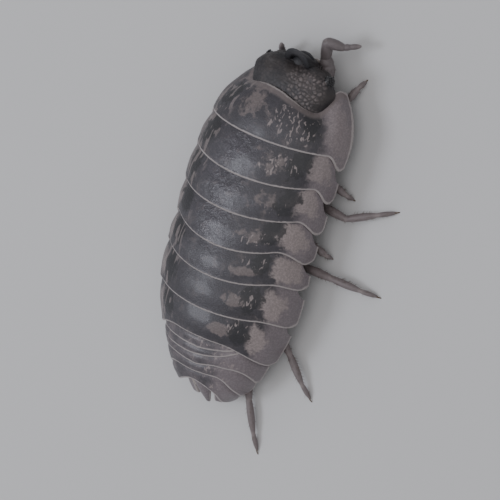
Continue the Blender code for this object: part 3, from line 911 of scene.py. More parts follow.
def join_shapes(name, shapes, finish):
    """Fuses closed shapes into one object with a single union."""
    body = shapes[0].object(name, finish)
    group = bpy.data.collections.new(name + "_pieces")
    bpy.context.scene.collection.children.link(group)
    for i, shape in enumerate(shapes[1:]):
        part = shape.object(f"{name}_piece_{i}", finish)
        bpy.context.scene.collection.objects.unlink(part)
        group.objects.link(part)
    fuse = body.modifiers.new("join", "BOOLEAN")
    fuse.operation = "UNION"
    fuse.operand_type = "COLLECTION"
    fuse.collection = group
    fuse.solver = "MANIFOLD"
    apply_modifiers(body)
    for part in list(group.objects):
        bpy.data.objects.remove(part, do_unlink=True)
    bpy.data.collections.remove(group)
    if not body.data.polygons:
        raise RuntimeError(name + " came out of its union empty")
    return body


def apply_modifiers(obj):
    """Replaces the object's mesh by what its modifiers make of it."""
    bpy.context.view_layer.update()
    graph = bpy.context.evaluated_depsgraph_get()
    mesh = bpy.data.meshes.new_from_object(obj.evaluated_get(graph))
    obj.modifiers.clear()
    obj.data = mesh


def mesh_points(obj):
    """The object's points in millimetres of the body's own layout."""
    flat = np.zeros(len(obj.data.vertices) * 3, np.float32)
    obj.data.vertices.foreach_get("co", flat)
    return flat.reshape(-1, 3) / MM + CENTRE


def set_field(obj, key, values):
    """Stores one value for each point of a mesh."""
    attribute = obj.data.attributes.new(key, "FLOAT", "POINT")
    attribute.data.foreach_set("value", np.asarray(values, np.float32))


def unit(vector):
    return vector / max(np.linalg.norm(vector), 1e-12)


def article(start, end, widths, flat=1.0):
    """One article of a limb: a spindle with domed ends, wider than deep."""
    start, end = np.asarray(start, float), np.asarray(end, float)
    first, middle, last = widths
    axis = unit(end - start)
    side = unit(np.cross(axis, (0.02, 0.03, 1.0)))
    other = np.cross(axis, side)
    t = np.linspace(0, 1, ARTICLE_RINGS)
    bulge = 2 * middle - (first + last) / 2
    radius = first * (1 - t) ** 2 + 2 * t * (1 - t) * bulge + last * t ** 2
    length = np.linalg.norm(end - start)
    stations, sizes = list(t * length), list(radius)
    for lift in (0.35, 0.7, 0.92):
        stations = [-first * ARTICLE_DOME * lift, *stations, length + last * ARTICLE_DOME * lift]
        sizes = [first * np.sqrt(1 - lift ** 2), *sizes, last * np.sqrt(1 - lift ** 2)]
    a = 2 * pi * np.arange(ARTICLE_SIDES) / ARTICLE_SIDES
    ring = np.cos(a)[:, None] * side * flat + np.sin(a)[:, None] * other
    points = [start + axis * place + ring * size for place, size in zip(stations, sizes)]
    ends = (start - axis * first * ARTICLE_DOME, end + axis * last * ARTICLE_DOME)
    shape = Shape()
    shape.add(np.concatenate([*points, ends]), tube_faces(len(stations), ARTICLE_SIDES))
    return shape


def leg_joints(index, foot, knee):
    """The joints of a leg, from its root under the sternum to the foot."""
    side = 1 if foot[0] > 0 else -1
    plate = TRUNK[index]
    start = first_margin(0.5) if index == 0 else hind_margin(TRUNK[index - 1], 0.5)
    s = (start + PLATE_GAP + hind_margin(plate, 0.5)) / 2 - 0.3
    half = plate.half if index else 3.3
    level = STERNUM_LEVEL * plate.height - 0.3
    low = line_point(knee[1] + MIDDLE_S)[2] / EDGE_HEIGHT
    root = on_body(s, side * ROOT_OUT * half, level)
    basis = on_body(s, side * BASIS_IN * half, 0)
    basis[2] = KNEE_HEIGHTS[0]
    basis[1] += 0.12 * (foot[1] - basis[1])
    elbow = np.array((*knee, KNEE_HEIGHTS[2] * low))
    merus = (basis + elbow) / 2
    merus[2] = KNEE_HEIGHTS[1] * low
    ground = np.array((*foot, 0.0))
    wrist = elbow + (ground - elbow) * 0.62
    wrist[2] = KNEE_HEIGHTS[3] * low
    return root, basis, merus, elbow, wrist, ground


def leg_shapes(joints):
    """The closed articles of one leg, but not its claw."""
    root, basis, merus, elbow, wrist, ground = joints
    w = LEG_WIDTHS
    above = root + np.array((0, 0, 0.55))
    toe = wrist + (ground - wrist) * 0.80
    return [
        article(above, root + (basis - root) * 0.15, (w[0] * 1.05, w[0] * 1.08, w[0] * 0.95)),
        article(root, basis, (w[0] * 0.86, w[0] * 1.0, w[1] * 0.92), flat=0.9),
        article(basis, merus, (w[1] * 0.80, w[1] * 1.06, w[2] * 0.92)),
        article(merus, elbow, (w[2] * 0.78, w[2] * 1.10, w[3] * 0.88)),
        article(elbow, wrist, (w[3] * 0.78, w[3] * 1.05, w[4] * 0.70)),
        article(wrist, toe, (w[4] * 0.66, w[5] * 1.12, w[6] * 0.90)),
    ]


def add_claw(shape, wrist, ground):
    """Adds the curved claw that ends a leg in a small flat on the floor."""
    start = wrist + (ground - wrist) * 0.74
    rings, sides = 12, 12
    across = np.cross(unit((ground - wrist) * (1.0, 1.0, 0.0)), (0, 0, 1.0))
    points = []
    for t in np.linspace(0, 1, rings):
        centre = start + (ground - start) * t + np.array((0, 0, 0.05)) * sin(pi * t)
        centre[2] = max(centre[2], 0.012 * (1 - t))
        axis = unit((ground - start) * (1 - t) + np.array((0, 0, -0.9)) * t)
        up = np.cross(across, axis)
        radius = LEG_WIDTHS[6] * (0.82 - 0.42 * t)
        for a in 2 * pi * np.arange(sides) / sides:
            point = centre + (across * cos(a) + up * sin(a)) * radius
            point[2] = max(point[2], 0.0)
            points.append(point)
    points += [start, ground * (1, 1, 0)]
    shape.add(points, tube_faces(rings, sides))


def belly_shape():
    """The soft body under the plates, with a ridge for each segment."""
    bounds = [-0.9, *(hind_margin(row, 0.5) - 0.25 for row in TRUNK), 13.6, 14.2, 14.8, 15.3]
    s = np.linspace(-1.0, 15.35, 210)
    stations, halves, tops = zip(*BELLY)
    half = curve_at(stations, halves, s)[:, None]
    top = curve_at(stations, tops, s)[:, None]
    ridge = np.cos(2 * pi * np.interp(s, bounds, range(len(bounds))))[:, None]
    level = STERNUM_LEVEL * top / 0.9 - 0.20 - 0.07 * (1 - ridge)
    level = np.minimum(level, top - 0.3)
    across = 48
    reach = 0.93
    upper_x, upper_z = arch(reach * (1 - 2 * np.arange(across) / (across - 1)), half, top)
    v = np.linspace(-1, 1, across + 2)[1:-1]
    edge_z = top * cos(reach * pi / 2) ** ARCH_ROUND
    groove = 0.16 * np.exp(-((np.abs(v) - 0.86) / 0.07) ** 2)
    blend = smooth(0.86, 1.0, np.abs(v))
    lower_x = half * sin(reach * pi / 2) * v * 0.985
    lower_z = (level + 0.05 * (v * v) + groove) * (1 - blend) + edge_z * blend
    lower_z = np.minimum(lower_z, level + 0.4)
    x = np.concatenate([upper_x, lower_x], 1)
    z = np.concatenate([np.maximum(upper_z, level + 0.02), lower_z], 1)
    points = on_body(np.broadcast_to(s[:, None], x.shape), x, z)
    ends = (points[0].mean(0), points[-1].mean(0))
    crease = soft_noise(points, 0.35, 31) * 0.02
    points = points + np.array((0, 0, 1.0)) * crease[..., None]
    shape = Shape()
    shape.add(np.concatenate([points.reshape(-1, 3), ends]), tube_faces(len(s), 2 * across))
    return shape


def gill_shape():
    """Five pairs of flat gill plates that overlap under the tail."""
    shape = Shape()
    for pair in range(5):
        s = 12.75 + 0.52 * pair
        half = 0.52 * (1.25 - 0.17 * pair)
        for side in (1, -1):
            centre = on_body(s, side * (half + 0.06), 0.52 - 0.03 * pair)
            turn = Matrix.Rotation(radians(-14), 3, "X") @ Matrix.Rotation(radians(side * 10), 3, "Y")
            add_ball(shape, centre, (half, 0.50, 0.075), 24, turn, lung=float(pair < 2))
    return shape


def eye_parts(side):
    """The black dome of an eye and the places of its small round lenses."""
    x, y, z = EYE_SPOTS[side]
    spot = head_place(x, y, z)
    out = unit(head_place(x + side, y - 0.12, z + 0.25) - spot)
    across = unit(np.cross(out, (0, 0, 1.0)))
    turn = np.stack([across, np.cross(across, out), out], 1)
    centre = spot - out * 0.14
    shape = Shape()
    add_ball(shape, centre, (EYE_RADIUS * 1.1, EYE_RADIUS * 0.86, EYE_DEPTH), 32, turn)
    places, aims = [], []
    for row in range(-2, 3):
        for column in range(-3, 4):
            a = (column + 0.5 * (row % 2)) * LENS_SPACING[0]
            b = row * LENS_SPACING[1]
            if (a / (EYE_RADIUS * 1.02)) ** 2 + (b / (EYE_RADIUS * 0.80)) ** 2 > 1:
                continue
            depth = EYE_DEPTH * np.sqrt(max(0.05, 1 - (a / 0.40) ** 2 - (b / 0.31) ** 2))
            local = np.array((a, b, depth))
            places.append(centre + turn @ local)
            aims.append(unit(turn @ (local / np.array((0.16, 0.096, 0.048)))))
    return shape, places, aims


def scatter_tree():
    """A node tree that sets a small solid on each point, along its aim."""
    tree = bpy.data.node_groups.new("small_solids", "GeometryNodeTree")
    for name, kind in (
        ("Geometry", "Geometry"), ("Width", "Float"), ("Length", "Float"), ("Tip", "Float"),
        ("Rounded", "Bool"), ("Seed", "Int"), ("Finish", "Material"),
    ):
        tree.interface.new_socket(name, in_out="INPUT", socket_type="NodeSocket" + kind)
    tree.interface.new_socket("Geometry", in_out="OUTPUT", socket_type="NodeSocketGeometry")

    def node(kind, **inputs):
        made = tree.nodes.new(kind)
        for key, value in inputs.items():
            made.inputs[key.replace("_", " ")].default_value = value
        return made

    source, out = node("NodeGroupInput"), node("NodeGroupOutput")
    points = node("GeometryNodeMeshToPoints")
    ball = node("GeometryNodeMeshIcoSphere", Subdivisions=2, Radius=1.0)
    cone = node("GeometryNodeMeshCone", Vertices=6, Radius_Bottom=1.0, Depth=1.0)
    choice = node("GeometryNodeSwitch")
    choice.input_type = "GEOMETRY"
    place = node("GeometryNodeInstanceOnPoints")
    aim = node("GeometryNodeInputNamedAttribute", Name="aim")
    aim.data_type = "FLOAT_VECTOR"
    turn = node("FunctionNodeAlignRotationToVector")
    size = node("ShaderNodeCombineXYZ")
    chance = node("FunctionNodeRandomValue")
    chance.inputs[2].default_value = 0.78
    chance.inputs[3].default_value = 1.15
    grow = node("ShaderNodeVectorMath")
    grow.operation = "SCALE"
    whole = node("GeometryNodeRealizeInstances")
    paint = node("GeometryNodeSetMaterial")
    for start, output, end, socket in (
        (source, "Geometry", points, "Mesh"),
        (source, "Rounded", choice, "Switch"),
        (source, "Tip", cone, "Radius Top"),
        (cone, "Mesh", choice, "False"),
        (ball, "Mesh", choice, "True"),
        (points, "Points", place, "Points"),
        (choice, "Output", place, "Instance"),
        (aim, "Attribute", turn, "Vector"),
        (turn, "Rotation", place, "Rotation"),
        (source, "Width", size, "X"),
        (source, "Width", size, "Y"),
        (source, "Length", size, "Z"),
        (source, "Seed", chance, "Seed"),
        (size, "Vector", grow, 0),
        (chance, 1, grow, "Scale"),
        (grow, "Vector", place, "Scale"),
        (place, "Instances", whole, "Geometry"),
        (whole, "Geometry", paint, "Geometry"),
        (source, "Finish", paint, "Material"),
        (paint, "Geometry", out, "Geometry"),
    ):
        tree.links.new(start.outputs[output], end.inputs[socket])
    return tree


def scatter(name, places, aims, finish, width, length, tip=0.0, rounded=False, seed=1):
    """Small solids set on places along their aims, as one plain mesh."""
    mesh = bpy.data.meshes.new(name)
    points = (np.asarray(places) - CENTRE) * MM
    mesh.from_pydata(points.tolist(), [], [])
    attribute = mesh.attributes.new("aim", "FLOAT_VECTOR", "POINT")
    attribute.data.foreach_set("vector", np.asarray(aims, np.float32).ravel())
    obj = linked(name, mesh)
    tree = bpy.data.node_groups.get("small_solids") or scatter_tree()
    modifier = obj.modifiers.new("solids", "NODES")
    modifier.node_group = tree
    values = {
        "Width": width * MM, "Length": length * MM, "Tip": tip,
        "Rounded": rounded, "Seed": seed, "Finish": finish,
    }
    for item in tree.interface.items_tree:
        if item.in_out == "INPUT" and item.name in values:
            modifier[item.identifier] = values[item.name]
    apply_modifiers(obj)
    if not obj.data.polygons:
        raise RuntimeError(name + " came out empty")
    return obj


def merge_into(first, other):
    """Joins a finished plain mesh into the first object."""
    bm = bmesh.new()
    bm.from_mesh(first.data)
    bm.from_mesh(other.data)
    bpy.data.objects.remove(other, do_unlink=True)
    bm.to_mesh(first.data)
    bm.free()


def surface_points(obj, count, seed, keep=None):
    """Random places on an object's surface with their normals, in millimetres."""
    faces = obj.data.polygons
    areas, centres, normals = (np.zeros(len(faces) * n, np.float32) for n in (1, 3, 3))
    for key, values in (("area", areas), ("center", centres), ("normal", normals)):
        faces.foreach_get(key, values)
    centres = centres.reshape(-1, 3) / MM + CENTRE
    normals = normals.reshape(-1, 3)
    weight = areas.astype(float)
    if keep is not None:
        weight = weight * keep(centres, normals)
    rng = np.random.default_rng(seed)
    picked = rng.choice(len(weight), count, p=weight / weight.sum())
    return centres[picked], normals[picked]


def limb_path(joints, points):
    """Each point's distance from a limb's line, and from its nearest joint."""
    joints = np.asarray(joints, float)
    nearest = np.full(len(points), 1e9)
    for a, b in zip(joints, joints[1:]):
        t = np.clip(((points - a) @ (b - a)) / ((b - a) @ (b - a)), 0, 1)
        gap = np.linalg.norm(points - (a + t[:, None] * (b - a)), axis=1)
        nearest = np.minimum(nearest, gap)
    joint = np.min([np.linalg.norm(points - j, axis=1) for j in joints[1:]], axis=0)
    return nearest, joint


class Graph:
    """Short ways to lay out the nodes of one material."""

    def __init__(self, name):
        self.material = bpy.data.materials.new(name)
        self.material.use_nodes = True
        self.tree = self.material.node_tree
        self.shader = self.tree.nodes["Principled BSDF"]
        inputs = {"Vector": self.node("TexCoord", {})["Object"], "Scale": (1 / MM, 1 / MM, 1 / MM)}
        self.place = self.node("Mapping", inputs)["Vector"]

    def node(self, kind, inputs, **settings):
        """The outputs of a new node with these inputs and settings."""
        made = self.tree.nodes.new("ShaderNode" + kind)
        for key, value in settings.items():
            setattr(made, key, value)
        for key, value in inputs.items():
            self.feed(made.inputs[key], value)
        return made.outputs

    def feed(self, socket, value):
        if isinstance(value, bpy.types.NodeSocket):
            self.tree.links.new(value, socket)
        elif isinstance(value, tuple) or hasattr(value, "r"):
            socket.default_value = (*value, 1) if socket.type == "RGBA" else value
        else:
            socket.default_value = value

    def noise(self, scale, detail=3.0, rough=0.55, distortion=0.0, stretch=None):
        place = self.place
        if stretch:
            place = self.node("Mapping", {"Vector": place, "Scale": stretch})["Vector"]
        inputs = {
            "Vector": place, "Scale": scale, "Detail": detail,
            "Roughness": rough, "Distortion": distortion,
        }
        return self.node("TexNoise", inputs)["Fac"]

    def cells(self, scale):
        return self.node("TexVoronoi", {"Vector": self.place, "Scale": scale})["Distance"]

    def field(self, name):
        return self.node("Attribute", {}, attribute_name=name)["Fac"]

    def times(self, a, b):
        return self.node("Math", {0: a, 1: b}, operation="MULTIPLY")["Value"]

    def plus(self, a, b):
        return self.node("Math", {0: a, 1: b}, operation="ADD")["Value"]

    def minus(self, a, b):
        return self.node("Math", {0: a, 1: b}, operation="SUBTRACT")["Value"]

    def ragged(self, field, texture, amount):
        """A field whose edge is made ragged by a texture."""
        return self.plus(field, self.times(self.minus(texture, 0.5), amount))

    def step(self, value, low, high, start=0.0, end=1.0):
        """A soft step from start to end as value goes from low to high."""
        inputs = {"Value": value, "From Min": low, "From Max": high, "To Min": start, "To Max": end}
        return self.node("MapRange", inputs, interpolation_type="SMOOTHSTEP")["Result"]

    def mix(self, share, a, b):
        return self.node("Mix", {0: share, 6: a, 7: b}, data_type="RGBA")[2]

    def scaled(self, colour, factor):
        """A colour made lighter or darker by a factor."""
        return self.node("VectorMath", {0: colour, "Scale": factor}, operation="SCALE")["Vector"]

    def bump(self, height, distance):
        return self.node("Bump", {"Strength": 1.0, "Distance": distance, "Height": height})["Normal"]

    def finish(self, colour, rough, normal=None, **fixed):
        self.feed(self.shader.inputs["Base Color"], colour)
        self.feed(self.shader.inputs["Roughness"], rough)
        if normal is not None:
            self.feed(self.shader.inputs["Normal"], normal)
        for key, value in fixed.items():
            self.shader.inputs[key.replace("_", " ")].default_value = value
        return self.material


def shell_finish(looks):
    """Slate plates with pale edges, tan patches, black bands and marks."""
    found = bpy.data.materials.get("plate_shell")
    if found:
        return found
    g = Graph("plate_shell")
    broad = g.noise(0.55, 3.0, 0.6)
    middle = g.noise(2.4, 3.0, 0.55, 0.5)
    small = g.noise(5.0, 1.0, 0.5, 0.6)
    fine = g.noise(11.0, 3.0, 0.6)
    highlight_streak_noise = g.noise(1.0, 1.0, 0.5, 0.2, stretch=(3.6, 0.70, 4.6))
    strokes = g.noise(1.0, 1.0, 0.5, 0.9, stretch=(6.6, 2.4, 6.6))
    mixed = g.plus(g.times(middle, 0.75), g.times(small, 0.25))
    # Slate, with a painted bluish sheen along the wet stripe and in broad clouds, and brown clouds.
    gleam = g.times(g.field("gleam"), g.step(middle, 0.32, 0.60, 0.35, 1.0))
    share = g.plus(g.times(gleam, 0.75), g.step(broad, 0.40, 0.66, 0, 0.30))
    colour = g.mix(share, looks.slate, looks.painted_sheen)
    colour = g.mix(g.step(middle, 0.50, 0.74, 0, 0.30), colour, looks.brown)
    # Sides, blotches, tan patches and the black bands beside them.
    flank = g.step(g.ragged(g.field("side"), mixed, 0.9), 0.10, 0.95, 0, 0.9)
    colour = g.mix(flank, colour, looks.flank)
    blotch = g.step(g.ragged(g.field("blotch"), mixed, 1.8), 0.02, 0.34, 0, 0.85)
    colour = g.mix(blotch, colour, looks.brown)
    tan = g.step(g.ragged(g.field("tan"), mixed, 1.6), -0.02, 0.42, 0, 0.95)
    weak = g.minus(1.0, g.times(g.field("left"), 0.55))
    colour = g.mix(g.times(tan, g.times(weak, g.field("pale"))), colour, looks.tan)
    band = g.step(g.ragged(g.field("band"), mixed, 2.2), 0.0, 0.30, 0, 0.88)
    colour = g.mix(band, colour, looks.black)
    # Painted highlight streaks in tan along the left flank, and strokes of the right shoulder.
    painted_highlight_streaks = g.times(g.field("streak"), g.step(highlight_streak_noise, 0.54, 0.60))
    colour = g.mix(g.times(painted_highlight_streaks, 0.50), colour, looks.tan)
    zone = g.step(g.ragged(g.field("worms"), middle, 1.6), 0.05, 0.35)
    colour = g.mix(g.times(g.step(strokes, 0.58, 0.64), g.times(zone, 0.80)), colour, looks.tan)
    colour = g.scaled(colour, g.step(fine, 0.42, 0.62, 0.86, 1.10))
    # The brown front lip, the pale edge line and the underside.
    width = looks.rim_width / MM
    wave = g.times(g.minus(small, 0.5), width * 0.7)
    rim = g.step(g.plus(g.field("rim"), wave), width * 0.7, width * 1.3, 1, 0)
    lip = g.step(g.plus(g.field("lip"), wave), 0.20, 0.36, 0.75, 0)
    colour = g.mix(lip, colour, looks.brown)
    colour = g.mix(rim, colour, looks.pale)
    colour = g.mix(g.times(g.field("under"), 0.75), colour, looks.tan)
    rough = g.step(middle, 0.3, 0.7, looks.gloss, looks.gloss + 0.12)
    rough = g.minus(rough, g.times(gleam, 0.30))
    grain = g.plus(g.times(g.cells(13.0), 0.6), g.noise(26.0, 2.0))
    wet = g.times(g.times(gleam, gleam), g.noise(5.5, 3.0, 0.65))
    normal = g.bump(g.plus(grain, g.times(wet, 4.0)), looks.grain)
    return g.finish(colour, rough, normal, Coat_Weight=0.15, Coat_Roughness=0.18)


def head_finish(looks):
    """Brown-black, with painted highlights on the crown's pebbles and painted shade in the pit behind
    the nose.
    """
    g = Graph("head_shell")
    broad = g.noise(1.1, 3.0)
    fine = g.noise(9.0, 3.0)
    dark = scaled_colour(looks.slate, 0.42)
    colour = g.mix(g.step(broad, 0.35, 0.7), dark, scaled_colour(looks.brown, 0.22))
    warm = g.times(g.field("warm"), g.step(fine, 0.35, 0.6, 0.1, 0.4))
    colour = g.mix(warm, colour, looks.brown)
    # Painted highlights: the pebble tops of the crown mixed towards tan.
    painted_pebble_highlight = g.times(g.field("pebble"), g.step(fine, 0.30, 0.62, 0.25, 1.0))
    colour = g.mix(g.times(painted_pebble_highlight, 0.50), colour, looks.tan)
    # Painted shade: black on the nose plate's inner face and crest and on the dish behind it, where
    # the pit behind the nose lies in shadow.
    colour = g.mix(g.step(g.field("rim"), 0.05, 0.30, 0.75, 0), colour, looks.black)
    rough = g.step(fine, 0.3, 0.7, 0.50, 0.66)
    normal = g.bump(g.noise(24.0, 2.0), looks.grain)
    return g.finish(colour, rough, normal, Coat_Weight=0.03, Coat_Roughness=0.4)


def scaled_colour(colour, factor):
    return tuple(channel * factor for channel in colour)


def eye_finish():
    """Glossy black lenses."""
    g = Graph("eye_black")
    tint = g.mix(g.noise(6.0), (0.008, 0.008, 0.010), (0.020, 0.019, 0.022))
    return g.finish(tint, 0.24, None, Coat_Weight=0.3, Coat_Roughness=0.12)


def limb_finish(limbs, name, main, share):
    """Limb articles that pale towards their joints and tips."""
    found = bpy.data.materials.get(name)
    if found:
        return found
    g = Graph(name)
    broad = g.noise(2.2, 3.0)
    fine = g.noise(12.0, 3.0)
    colour = g.mix(g.step(fine, 0.3, 0.7, 0, 0.4), main, scaled_colour(main, 1.7))
    near = g.step(g.ragged(g.field("joint"), broad, 0.10), 0.10, 0.24, 1, 0)
    colour = g.mix(g.times(near, share), colour, limbs.joint)
    colour = g.mix(g.times(g.field("belly"), 0.9), colour, limbs.belly)
    rough = g.step(fine, 0.3, 0.7, 0.42, 0.58)
    normal = g.bump(g.noise(20.0, 3.0), 0.000010)
    return g.finish(colour, rough, normal, Coat_Weight=0.05, Coat_Roughness=0.3)


def gill_finish(limbs):
    """Pale gill plates, the front two pairs with white lungs."""
    g = Graph("gill_plates")
    cloud = g.noise(3.0, 4.0)
    colour = g.mix(g.step(cloud, 0.3, 0.7), limbs.belly, scaled_colour(limbs.belly, 0.7))
    colour = g.mix(g.times(g.field("lung"), 0.7), colour, (0.62, 0.61, 0.57))
    return g.finish(colour, 0.45, g.bump(g.noise(14.0), 0.000012))


def claw_finish():
    """Dark horn of the claws and bristles."""
    g = Graph("claw_horn")
    colour = g.mix(g.noise(8.0), (0.05, 0.032, 0.02), (0.13, 0.085, 0.05))
    return g.finish(colour, 0.35)


def floor_finish(stage):
    """Plain pale floor."""
    g = Graph("floor_plain")
    colour = g.mix(g.noise(0.04, 2.0), stage.floor, scaled_colour(stage.floor, 0.96))
    return g.finish(colour, 0.75)


class WOODLOUSE_OT_trunk_plates(bpy.types.Operator):
    """Builds the overlapping back plates of the trunk."""

    bl_idname = "woodlouse.trunk_plates"
    bl_label = "Trunk plates"

    def execute(self, context):
        finish = shell_finish(context.scene.woodlouse_shell)
        for index in range(len(TRUNK)):
            shape = Shape()
            if index:
                trunk_plate(shape, index)
            else:
                first_plate(shape)
            obj = shape.object(f"trunk_plate_{index + 1}", finish)
            finish_piece(obj, "shell", f"pereonite_{index + 1}")
        return {"FINISHED"}


class WOODLOUSE_OT_tail_plates(bpy.types.Operator):
    """Builds the tail plates, the telson and the uropods."""

    bl_idname = "woodlouse.tail_plates"
    bl_label = "Tail plates"

    def execute(self, context):
        finish = shell_finish(context.scene.woodlouse_shell)
        shape = Shape()
        for index in range(len(TAIL)):
            tail_plate(shape, index)
        finish_piece(shape.object("tail_plates", finish), "shell", "pleon")
        finish_piece(telson_shape().object("telson_plate", finish), "shell", "telson")
        for name, side in (("left", 1), ("right", -1)):
            obj = uropod_shape(side).object("uropod_plate_" + name, finish)
            finish_piece(obj, "shell", "uropod_" + name)
        return {"FINISHED"}


class WOODLOUSE_OT_head(bpy.types.Operator):
    """Builds the head with its nose plate."""

    bl_idname = "woodlouse.head"
    bl_label = "Head"

    def execute(self, context):
        finish = head_finish(context.scene.woodlouse_shell)
        shape = Shape()
        for add_part in (add_capsule, add_nose, add_face):
            add_part(shape)
        finish_piece(shape.object("head_shell", finish), "head", "head")
        return {"FINISHED"}


class WOODLOUSE_OT_eyes(bpy.types.Operator):
    """Builds the two eyes with their small round lenses."""

    bl_idname = "woodlouse.eyes"
    bl_label = "Eyes"

    def execute(self, context):
        finish = eye_finish()
        for name, side in (("left", 1), ("right", -1)):
            shape, places, aims = eye_parts(side)
            dome = shape.object("eye_lenses_" + name, finish)
            lenses = scatter(
                "lenses", places, aims, finish, LENS_WIDTH, LENS_LENGTH, rounded=True, seed=side + 2)
            merge_into(dome, lenses)
            dome.data.shade_smooth()
            finish_piece(dome, "eye", "eye_" + name)
        return {"FINISHED"}


class WOODLOUSE_OT_feelers(bpy.types.Operator):
    """Builds the two feelers with their fine bristles."""

    bl_idname = "woodlouse.feelers"
    bl_label = "Feelers"

    def execute(self, context):
        limbs = context.scene.woodlouse_limbs
        finish = limb_finish(limbs, "feeler_shell", limbs.feeler, 0.5)
        horn = claw_finish()
        for name, joints in (("left", LEFT_FEELER), ("right", RIGHT_FEELER)):
            obj = join_shapes("feeler_" + name, feeler_shapes(joints), finish)
            points = mesh_points(obj)
            set_field(obj, "joint", limb_path(joints, points)[1])
            set_field(obj, "belly", np.zeros(len(points)))
            face_outward(obj.data)
            places, aims = surface_points(obj, HAIR_COUNT, 11)
            aims = aims + 0.9 * limb_direction(joints, places)
            hairs = scatter("hairs", places, aims, horn, HAIR_WIDTH, HAIR_LENGTH, seed=4)
            merge_into(obj, hairs)
            finish_piece(obj, "limb", "antenna_" + name)
        return {"FINISHED"}


def limb_direction(joints, points):
    """The direction of the limb beside each point."""
    joints = np.asarray(joints, float)
    middles = (joints[:-1] + joints[1:]) / 2
    ways = np.array([unit(b - a) for a, b in zip(joints, joints[1:])])
    nearest = np.argmin(np.linalg.norm(points[:, None] - middles, axis=2), axis=1)
    return ways[nearest]


def feeler_shapes(joints):
    """The closed articles of a feeler: short ones at its root, then longer."""
    a, b, c, d, e = (np.asarray(joint, float) for joint in joints)
    up = np.array((0, 0.25, 0.42))
    whip = d + (e - d) * 0.38
    return [
        article(a + up, a, (0.26, 0.32, 0.32)),
        article(a, a + (b - a) * 0.45, (0.30, 0.35, 0.31)),
        article(a + (b - a) * 0.42, b, (0.28, 0.33, 0.27)),
        article(b, c, (0.25, 0.29, 0.25), flat=0.95),
        article(c, d, (0.24, 0.27, 0.19), flat=0.95),
        article(d, whip, (0.125, 0.160, 0.135)),
        article(whip, e, (0.115, 0.135, 0.060)),
    ]


class WOODLOUSE_OT_mouth(bpy.types.Operator):
    """Builds the plates and jaws that close the mouth."""

    bl_idname = "woodlouse.mouth"
    bl_label = "Mouth"

    def execute(self, context):
        limbs = context.scene.woodlouse_limbs
        finish = limb_finish(limbs, "mouth_shell", scaled_colour(limbs.belly, 0.55), 0.4)
        shape = Shape()
        for side in (1, -1):
            tilt = Matrix.Rotation(radians(side * 12), 3, "Y")
            add_ball(shape, head_place(side * 0.33, -7.42, 0.72), (0.34, 0.52, 0.13), 28, tilt)
            add_ball(shape, head_place(side * 0.24, -7.98, 0.86), (0.20, 0.26, 0.12), 20, tilt)
            add_ball(shape, head_place(side * 0.26, -8.14, 1.06), (0.24, 0.20, 0.16), 20, tilt)
            add_ball(shape, head_place(side * 0.74, -7.55, 0.98), (0.26, 0.46, 0.22), 24, tilt)
        add_ball(shape, head_place(0, -7.30, 1.05), (1.0, 0.72, 0.42), 28)
        finish_piece(shape.object("mouth_plates", finish), "under", "mouthparts")
        return {"FINISHED"}


class WOODLOUSE_OT_body_skin(bpy.types.Operator):
    """Builds the belly and the walking legs as one skin, and the claws."""

    bl_idname = "woodlouse.body_skin"
    bl_label = "Belly and legs"

    def execute(self, context):
        limbs = context.scene.woodlouse_limbs
        finish = limb_finish(limbs, "limb_skin", limbs.limb, 0.75)
        horn = claw_finish()
        paths, shapes, nodes = [], [belly_shape()], []
        claws = Shape()
        for name, legs in (("left", LEFT_LEGS), ("right", RIGHT_LEGS)):
            for index, (foot, knee) in enumerate(legs):
                joints = leg_joints(index, foot, knee)
                paths.append(joints)
                shapes += leg_shapes(joints)
                add_claw(claws, joints[4], joints[5])
                nodes.append(f"leg_{name}_{index + 1}")
        skin = join_shapes("body_skin", shapes, finish)
        paint_limbs(skin, paths)
        face_outward(skin.data)
        bristles = leg_bristles(skin, paths, horn, limbs.bristle / MM)
        finish_piece(skin, "limb", *nodes)
        finish_piece(claws.object("claws", horn), "limb")
        finish_piece(bristles, "limb")
        return {"FINISHED"}


def paint_limbs(skin, paths):
    """Marks on the skin where joints lie and where the belly is."""
    points = mesh_points(skin)
    joint = np.full(len(points), 9.0)
    axis = np.full(len(points), 9.0)
    for path in paths:
        gap, near = limb_path(path, points)
        joint = np.minimum(joint, near)
        axis = np.minimum(axis, gap)
    set_field(skin, "joint", joint)
    set_field(skin, "belly", smooth(0.30, 0.46, axis))


def leg_bristles(skin, paths, horn, length):
    """Short bristles along the legs, leaning towards the feet."""
    outer = np.array([point for path in paths for point in path[2:]])

    def keep(centres, normals):
        gap = np.array([np.min(np.linalg.norm(outer - c, axis=1)) for c in centres])
        return (gap < 0.8) * (0.3 + np.maximum(-normals[:, 2], 0))

    places, aims = surface_points(skin, BRISTLE_COUNT, 21, keep)
    ways = np.zeros_like(places)
    best = np.full(len(places), 1e9)
    for path in paths:
        gap = limb_path(path, places)[0]
        closer = gap < best
        best[closer] = gap[closer]
        ways[closer] = limb_direction(path, places)[closer]
    high = places[:, 2] > length * 1.1
    aims = aims + 0.8 * ways
    return scatter("leg_bristles", places[high], aims[high], horn, BRISTLE_WIDTH, length, seed=9)


class WOODLOUSE_OT_gills(bpy.types.Operator):
    """Builds the gill plates under the tail."""

    bl_idname = "woodlouse.gills"
    bl_label = "Gill plates"

    def execute(self, context):
        finish = gill_finish(context.scene.woodlouse_limbs)
        finish_piece(gill_shape().object("gill_plates", finish), "under")
        return {"FINISHED"}


class WOODLOUSE_OT_stage(bpy.types.Operator):
    """Sets out the floor, the lights and the camera."""

    bl_idname = "woodlouse.stage"
    bl_label = "Floor, lights and camera"

    def execute(self, context):
        stage = context.scene.woodlouse_stage
        build_floor(stage)
        build_lights(stage)
        build_camera()
        return {"FINISHED"}


